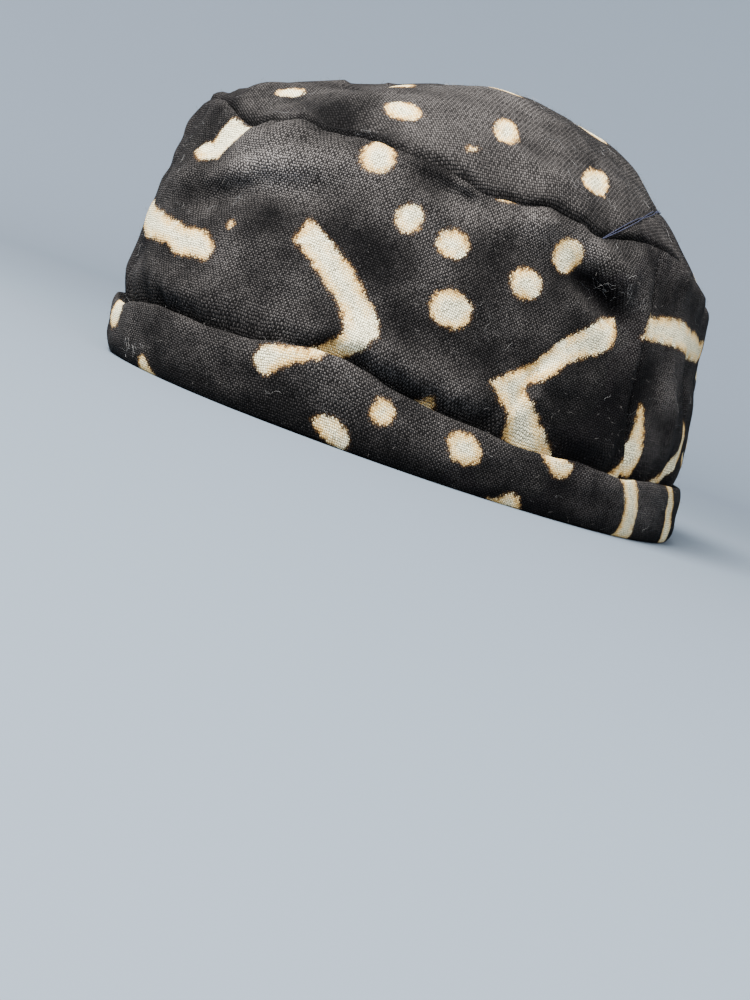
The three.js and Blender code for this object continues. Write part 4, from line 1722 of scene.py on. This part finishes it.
    def cut(self, piece: bpy.types.Object, outside: bool) -> None:
        """Cut the crown's sheet at the strip's seam and keep one side.

        Args:
            piece: The whole crown's sheet.
            outside: Whether the strip outside the seam is kept.
        """
        way = self.form.strip_way()
        offset = self.form.strip_out + (0.5 if outside else -0.5) * self.form.joint_gap
        on_seam = self.form.peak() + way * offset
        bm = bmesh.new()
        bm.from_mesh(piece.data)
        bmesh.ops.bisect_plane(
            bm, geom=bm.verts[:] + bm.edges[:] + bm.faces[:], dist=1e-7,
            plane_co=Vector(on_seam * MM), plane_no=Vector(way),
            clear_inner=outside, clear_outer=not outside)
        bm.to_mesh(piece.data)
        bm.free()


@dataclass(frozen=True)
class LintSpot:
    """A place where lint gathers, by its shares of the way round and up a cloth's grid."""

    cloth: Cloth
    around: float
    up: float
    spread: float


LINT_SPOTS: tuple[LintSpot, ...] = (
    LintSpot(Cloth.WALL, 0.772, 0.58, 0.006),
    LintSpot(Cloth.HEM, 0.722, 0.15, 0.004),
    LintSpot(Cloth.WALL, 0.962, 0.73, 0.005),
    LintSpot(Cloth.WALL, 0.865, 0.73, 0.004),
    LintSpot(Cloth.CROWN, 0.812, 0.02, 0.004),
    LintSpot(Cloth.WALL, 0.983, 0.72, 0.004),
    LintSpot(Cloth.WALL, 0.967, 0.79, 0.004),
    LintSpot(Cloth.WALL, 0.885, 0.03, 0.004),
    LintSpot(Cloth.WALL, 0.905, 0.45, 0.006),
    LintSpot(Cloth.WALL, 0.835, 0.30, 0.006),
)


def extruded_rod(sides: int, steps: int, taper: float = 1.0, tip: float = 1.0) -> bpy.types.Object:
    """Model a closed rod, a unit long and a unit thick, that stands on the origin.

    Args:
        sides: Sides of its section.
        steps: Lengths that it is extruded by.
        taper: How much narrower each length ends than it starts.
        tip: The same for the last length.

    Returns:
        The rod, in object mode.
    """
    bpy.ops.object.select_all(action="DESELECT")
    bpy.ops.mesh.primitive_circle_add(vertices=sides, radius=0.5, fill_type="NGON", location=(0.0, 0.0, 0.0))
    bpy.ops.object.mode_set(mode="EDIT")
    for step in range(steps):
        bpy.ops.mesh.extrude_region_move(TRANSFORM_OT_translate={"value": (0.0, 0.0, 1.0 / steps)})
        narrower = tip if step == steps - 1 else taper
        if narrower != 1.0:
            bpy.ops.transform.resize(value=(narrower, narrower, 1.0))
    bpy.ops.object.mode_set(mode="OBJECT")
    return bpy.context.object


@dataclass(frozen=True)
class Fibre:
    """One curled fibre's points, a unit long and a unit thick, its faces and how it bends."""

    points: Array
    faces: list[list[int]]
    bends: Array


@dataclass
class StrayFibres:
    """Fibres of one kind that lie on the cloth: its nap, or lint and bits of thread.

    Lengths are in millimetres, and stand says how steeply they stand off the cloth, from 0 to 1.
    Every fourth fibre lies at one of the spots, where there are any.
    """

    name: str
    count: int
    length: Place
    thickness: float
    stand: float
    steps: int
    spots: tuple[LintSpot, ...] = ()
    seed: int = 77
    variants: int = 7
    spot_every: int = 4
    off_floor: float = 0.2

    def model(self, index: int) -> Fibre:
        """Model one of the curled fibres."""
        rod = extruded_rod(3, self.steps, 0.97, 0.35)
        points = np.array([tuple(vertex.co) for vertex in rod.data.vertices])
        faces = [list(face.vertices) for face in rod.data.polygons]
        bpy.data.objects.remove(rod, do_unlink=True)
        curl = np.random.default_rng(self.seed + index).normal(0.0, 1.0, 4)
        return Fibre(points, faces, curl * np.array([0.34, 0.30, 0.10, 0.14]))

    def seat(self, chance: np.random.Generator, number: int,
             grids: tuple[ClothGrid, ...]) -> tuple[int, int, int]:
        """Choose where a fibre lies.

        Args:
            chance: Source of chance.
            number: Which fibre it is.
            grids: Cloths to lay it on.

        Returns:
            The number of the grid, the row and the column.
        """
        sizes = np.array([grid.points.shape[0] * grid.points.shape[1] for grid in grids], dtype=float)
        which = int(chance.choice(len(grids), p=sizes / sizes.sum()))
        rows, columns = grids[which].points.shape[:2]
        row = int(chance.integers(2, rows - 2))
        column = int(chance.integers(0, columns))
        if self.spots and number % self.spot_every == 0:
            spot = self.spots[(number // self.spot_every) % len(self.spots)]
            which = spot.cloth.value
            rows, columns = grids[which].points.shape[:2]
            column = int((spot.around + chance.normal(0.0, spot.spread)) * columns) % columns
            row = int(np.clip((spot.up + chance.normal(0.0, spot.spread * 4.0)) * rows, 1, rows - 2))
        return which, row, column

    def laid(self, chance: np.random.Generator, fibre: Fibre, base: Array, normal: Array) -> Array:
        """Curl a fibre and lay it on the cloth.

        Args:
            chance: Source of chance.
            fibre: The fibre.
            base: Where it starts.
            normal: The cloth's normal there.

        Returns:
            Its points in millimetres.
        """
        size = chance.uniform(*self.length)
        side = np.cross(normal, chance.normal(0.0, 1.0, 3))
        side /= np.linalg.norm(side)
        run = side * (1.0 - self.stand) + normal * self.stand
        run /= np.linalg.norm(run)
        cross = np.cross(run, normal)
        cross /= np.linalg.norm(cross)
        lift = np.cross(cross, run)
        across, high, share = fibre.points.T
        bends = fibre.bends
        turns = math.pi * (1.4 + 1.2 * chance.random())
        sway = bends[0] * share ** 2 * 2.0 + bends[1] * np.sin(share * turns)
        rise = bends[2] * share + abs(bends[3]) * share * (1.0 - share) * 1.4
        placed = base + normal * self.thickness * 0.4
        placed = placed + run * (share * size)[:, None]
        placed = placed + cross * (across * self.thickness + sway * size)[:, None]
        return placed + lift * (high * self.thickness + abs(rise) * size * (0.3 + self.stand))[:, None]

    def build(self, grids: tuple[ClothGrid, ...], finish: bpy.types.Material) -> None:
        """Lay copies of the fibres over the cloth, as one piece.

        Args:
            grids: Cloths to lay them on.
            finish: Their material.
        """
        chance = np.random.default_rng(self.seed + self.count)
        models = [self.model(index) for index in range(self.variants)]
        normals = [surface_normals(grid.points, grid.wraps_round) for grid in grids]
        vertices: list[Array] = []
        polygons: list[list[int]] = []
        used = 0
        for number in range(self.count):
            which, row, column = self.seat(chance, number, grids)
            fibre = models[number % len(models)]
            placed = self.laid(chance, fibre, grids[which].points[row, column], normals[which][row, column])
            if placed[:, 2].min() < self.off_floor:
                continue
            vertices.append(placed)
            polygons += [[corner + used for corner in face] for face in fibre.faces]
            used += len(placed)
        mesh = bpy.data.meshes.new(self.name)
        mesh.from_pydata((np.concatenate(vertices) * MM).tolist(), [], polygons)
        mesh.materials.append(finish)
        piece = bpy.data.objects.new(self.name, mesh)
        bpy.context.collection.objects.link(piece)
        settle(piece, ())


@dataclass
class SeamThread:
    """The double navy thread that lies in long stitches along the strip's seam.

    Lengths are in millimetres: near is how far from the seam the cloth's points are used to find
    it, and smooth over how long a stretch they are averaged.
    """

    form: CapForm
    thickness: float = 0.30
    apart: float = 0.95
    stitch: float = 27.0
    gap: float = 1.6
    near: float = 2.2
    smooth: float = 1.3
    end_margin: float = 0.6
    above: float = 0.62
    sunk_ends: float = 1.1
    sides: int = 8
    steps: int = 24

    def route(self, grid: ClothGrid) -> Array:
        """Return points along the seam, from the wall's seam over the crown.

        Args:
            grid: The crown's grid.

        Returns:
            Places in millimetres, in order along the seam.
        """
        turn = math.radians(self.form.strip_turn)
        along = np.array([-math.sin(turn), math.cos(turn), 0.0])
        places = grid.points[1:].reshape(-1, 3)
        past = self.form.past_strip_seam(places)
        near = places[np.abs(past) < self.near]
        gone = near @ along
        steps = np.linspace(gone.min() + self.end_margin, gone.max() - self.end_margin, 200)
        weight = np.exp(-((gone[None, :] - steps[:, None]) / self.smooth) ** 2)
        route = weight @ near / weight.sum(axis=1, keepdims=True)
        off = self.form.past_strip_seam(route)
        return route + self.lift() * self.above - self.form.strip_way() * off[:, None]

    def lift(self) -> Array:
        """Return the direction off the cloth along the seam's plane."""
        turn, lean = math.radians(self.form.strip_turn), math.radians(self.form.strip_lean)
        return np.array([math.cos(turn) * math.sin(lean), math.sin(turn) * math.sin(lean), math.cos(lean)])

    def build(self, grid: ClothGrid, finish: bpy.types.Material) -> None:
        """Model one stitch, copy it along the seam in two lines and join the copies.

        Args:
            grid: The crown's grid.
            finish: Material of the thread.
        """
        route = self.route(grid)
        length = np.append(0.0, np.cumsum(np.linalg.norm(np.diff(route, axis=0), axis=1)))
        model = extruded_rod(self.sides, self.steps)
        bpy.ops.object.mode_set(mode="EDIT")
        bpy.ops.mesh.select_all(action="SELECT")
        bpy.ops.mesh.normals_make_consistent(inside=False)
        bpy.ops.object.mode_set(mode="OBJECT")
        copies: list[bpy.types.Object] = []
        begin = 0.0
        while begin + self.stitch * 0.3 < length[-1]:
            end = min(begin + self.stitch, length[-1])
            for line in (-0.5, 0.5):
                copy = model.copy()
                copy.data = model.data.copy()
                bpy.context.collection.objects.link(copy)
                self.lay(copy, route, length, (begin, end), line)
                copies.append(copy)
            begin = end + self.gap
        bpy.data.objects.remove(model, do_unlink=True)
        bpy.ops.object.select_all(action="DESELECT")
        for copy in copies:
            copy.select_set(True)
        bpy.context.view_layer.objects.active = copies[0]
        bpy.ops.object.join()
        thread = bpy.context.object
        thread.name = "seam_thread"
        thread.data.materials.append(finish)
        bpy.ops.object.shade_smooth()
        settle(thread, ())

    def lay(self, copy: bpy.types.Object, route: Array, length: Array, span: Place, line: float) -> None:
        """Lay one stitch's copy on the seam, with its ends sunk into the cloth.

        Args:
            copy: The copy, a unit long.
            route: Places along the seam.
            length: Length gone at each of those places.
            span: Lengths at which the stitch begins and ends.
            line: Which of the two lines it lies in.
        """
        way, lift = self.form.strip_way(), self.lift()
        for vertex in copy.data.vertices:
            share = min(max(vertex.co.z, 0.0), 1.0)
            gone = span[0] + (span[1] - span[0]) * share
            middle = np.array([np.interp(gone, length, route[:, axis]) for axis in range(3)])
            ends = math.sin(math.pi * share) ** 0.25
            apart = line * self.apart * (0.45 + 0.55 * math.sin(math.pi * share + 0.4 * line))
            place = middle + way * (vertex.co.x * self.thickness + apart * ends)
            place = place + lift * (vertex.co.y * self.thickness - self.sunk_ends * (1.0 - ends))
            vertex.co = Vector(place * MM)


@dataclass(frozen=True)
class SoftLight:
    """A round area light that is aimed at the cap, in metres and watts."""

    name: str
    place: tuple[float, float, float]
    size: float
    power: float
    colour: Colour = (1.0, 0.985, 0.955)
    aim: tuple[float, float, float] = (0.0, 0.0, 0.06)

    def hang(self) -> None:
        """Make the light and turn it to the cap."""
        data = bpy.data.lights.new(self.name, "AREA")
        data.shape = "DISK"
        data.size = self.size
        data.energy = self.power
        data.color = self.colour
        lamp = bpy.data.objects.new(self.name, data)
        lamp.location = self.place
        toward = Vector(self.aim) - Vector(self.place)
        lamp.rotation_euler = toward.to_track_quat("-Z", "Y").to_euler()
        bpy.context.collection.objects.link(lamp)


@dataclass
class Studio:
    """The pale floor that sweeps up all round, the soft light and the camera.

    The floor's sizes are in metres, the camera's place in millimetres and its turns in degrees.
    """

    lights: tuple[SoftLight, ...] = (
        SoftLight("soft_key", (-0.02, -0.85, 1.10), 0.8, 124.0),
        SoftLight("soft_front", (0.95, -0.65, 0.75), 0.9, 23.0))
    room_colour: Colour = (0.93, 0.96, 1.0)
    room_strength: float = 0.88
    floor_radius: float = 0.85
    sweep_radius: float = 0.75
    wall_height: float = 1.2
    floor_sides: int = 96
    sweep_steps: int = 14
    camera_place: tuple[float, float, float] = (323.1, -385.1, 33.65)
    camera_azimuth: float = 40.0
    camera_elevation: float = -3.0
    camera_roll: float = 20.07
    aim_pixel: Place = (454.4, 285.1)
    focal_pixels: float = 1400.0
    frame_pixels: Place = (750.0, 1000.0)
    sensor: float = 36.0

    def add_disc(self) -> bpy.types.Object:
        """Add the floor's flat disc and return it."""
        bpy.ops.mesh.primitive_circle_add(
            vertices=self.floor_sides, radius=self.floor_radius, fill_type="NGON", location=(0, 0, 0))
        return bpy.context.object

    def build_floor(self, finish: bpy.types.Material) -> None:
        """Make the round floor, whose edge curves up into a wall with no corner.

        Args:
            finish: Material of the backdrop.
        """
        bpy.ops.object.select_all(action="DESELECT")
        floor = self.add_disc()
        floor.name = "studio_floor"
        bpy.ops.object.mode_set(mode="EDIT")
        radius, height = self.floor_radius, 0.0
        for step in range(1, self.sweep_steps + 1):
            turn = math.pi / 2.0 * step / self.sweep_steps
            wider = self.floor_radius + self.sweep_radius * math.sin(turn)
            higher = self.sweep_radius * (1.0 - math.cos(turn))
            bpy.ops.mesh.extrude_region_move(TRANSFORM_OT_translate={"value": (0.0, 0.0, higher - height)})
            bpy.ops.transform.resize(value=(wider / radius, wider / radius, 1.0))
            radius, height = wider, higher
        bpy.ops.mesh.extrude_region_move(TRANSFORM_OT_translate={"value": (0.0, 0.0, self.wall_height)})
        bpy.ops.mesh.delete(type="ONLY_FACE")
        bpy.ops.object.mode_set(mode="OBJECT")
        self.add_disc()
        floor.select_set(True)
        bpy.context.view_layer.objects.active = floor
        bpy.ops.object.join()
        bpy.ops.object.mode_set(mode="EDIT")
        bpy.ops.mesh.select_all(action="SELECT")
        bpy.ops.mesh.remove_doubles(threshold=0.0001)
        bpy.ops.mesh.normals_make_consistent(inside=True)
        bpy.ops.object.mode_set(mode="OBJECT")
        bpy.ops.object.shade_smooth()
        floor.data.materials.append(finish)

    def build_light(self) -> None:
        """Hang the soft lights and set the even light of the room."""
        for light in self.lights:
            light.hang()
        world = bpy.data.worlds.new("room")
        world.use_nodes = True
        sky = world.node_tree.nodes["Background"]
        sky.inputs["Color"].default_value = (*self.room_colour, 1.0)
        sky.inputs["Strength"].default_value = self.room_strength
        bpy.context.scene.world = world

    def camera_matrix(self) -> Matrix:
        """Return the camera's place and turn, which put the cap where the photograph has it."""
        turn = math.radians(self.camera_azimuth)
        rise = math.radians(self.camera_elevation)
        roll = math.radians(self.camera_roll)
        back = Vector((math.sin(turn) * math.cos(rise), -math.cos(turn) * math.cos(rise), math.sin(rise)))
        right = Vector((math.cos(turn), math.sin(turn), 0.0))
        up = back.cross(right)
        level = Matrix((right, up, back))
        rolled = Matrix((
            (math.cos(roll), math.sin(roll), 0.0), (-math.sin(roll), math.cos(roll), 0.0), (0.0, 0.0, 1.0)))
        across = (self.aim_pixel[0] - self.frame_pixels[0] / 2.0) / self.focal_pixels
        down = (self.aim_pixel[1] - self.frame_pixels[1] / 2.0) / self.focal_pixels
        aim = Vector((across, -down, -1.0)).normalized()
        swing = Vector((0.0, 0.0, -1.0)).rotation_difference(aim).to_matrix()
        rows = swing @ rolled @ level
        place = Vector(self.camera_place) * MM
        return Matrix.Translation(place) @ rows.transposed().to_4x4()

    def build_camera(self) -> None:
        """Place the camera."""
        data = bpy.data.cameras.new("view")
        data.sensor_width = self.sensor
        data.lens = self.sensor * self.focal_pixels / max(self.frame_pixels)
        data.clip_start = 0.01
        data.clip_end = 20.0
        camera = bpy.data.objects.new("view", data)
        camera.matrix_world = self.camera_matrix()
        bpy.context.collection.objects.link(camera)
        bpy.context.scene.camera = camera


def main() -> None:
    """Build the cap, its lint and thread, and the studio, in order."""
    logging.basicConfig(level=logging.INFO, format="%(message)s")
    form = CapForm()
    band_finish = DyedCotton("band_cotton", warp_pitch=0.60, weft_pitch=0.70)
    crown_finish = DyedCotton(
        "crown_cotton", warp_pitch=0.78, weft_pitch=1.04, turned=-66.0, relief=0.46,
        top_of_thread=(0.10, 0.80))
    strip_finish = replace(crown_finish, name="strip_cotton", turned=20.0)
    band_cloth = band_finish.make()
    hem = HemRoll(form).build(band_cloth)
    wall = SideBand(form).build(band_cloth)
    crown = Crown(form).build(crown_finish.make(), strip_finish.make())
    navy = PlainFinish("navy_thread", (0.032, 0.035, 0.062), (0.003, 0.004, 0.014), 1.6).make()
    SeamThread(form).build(crown, navy)
    grids = (wall, crown, hem)
    lint = PlainFinish("pale_lint", (0.27, 0.265, 0.26), (0.09, 0.09, 0.09), 0.4).make()
    nap = PlainFinish("dark_nap", (0.12, 0.112, 0.106), (0.03, 0.03, 0.03), 0.4).make()
    StrayFibres("lint", 330, (1.2, 5.2), 0.05, 0.06, 11, LINT_SPOTS).build(grids, lint)
    StrayFibres("nap", 2800, (0.7, 1.7), 0.065, 0.55, 5).build(grids, nap)
    studio = Studio()
    studio.build_floor(BackdropPaper().make())
    studio.build_light()
    studio.build_camera()


if __name__ == "__main__":
    main()
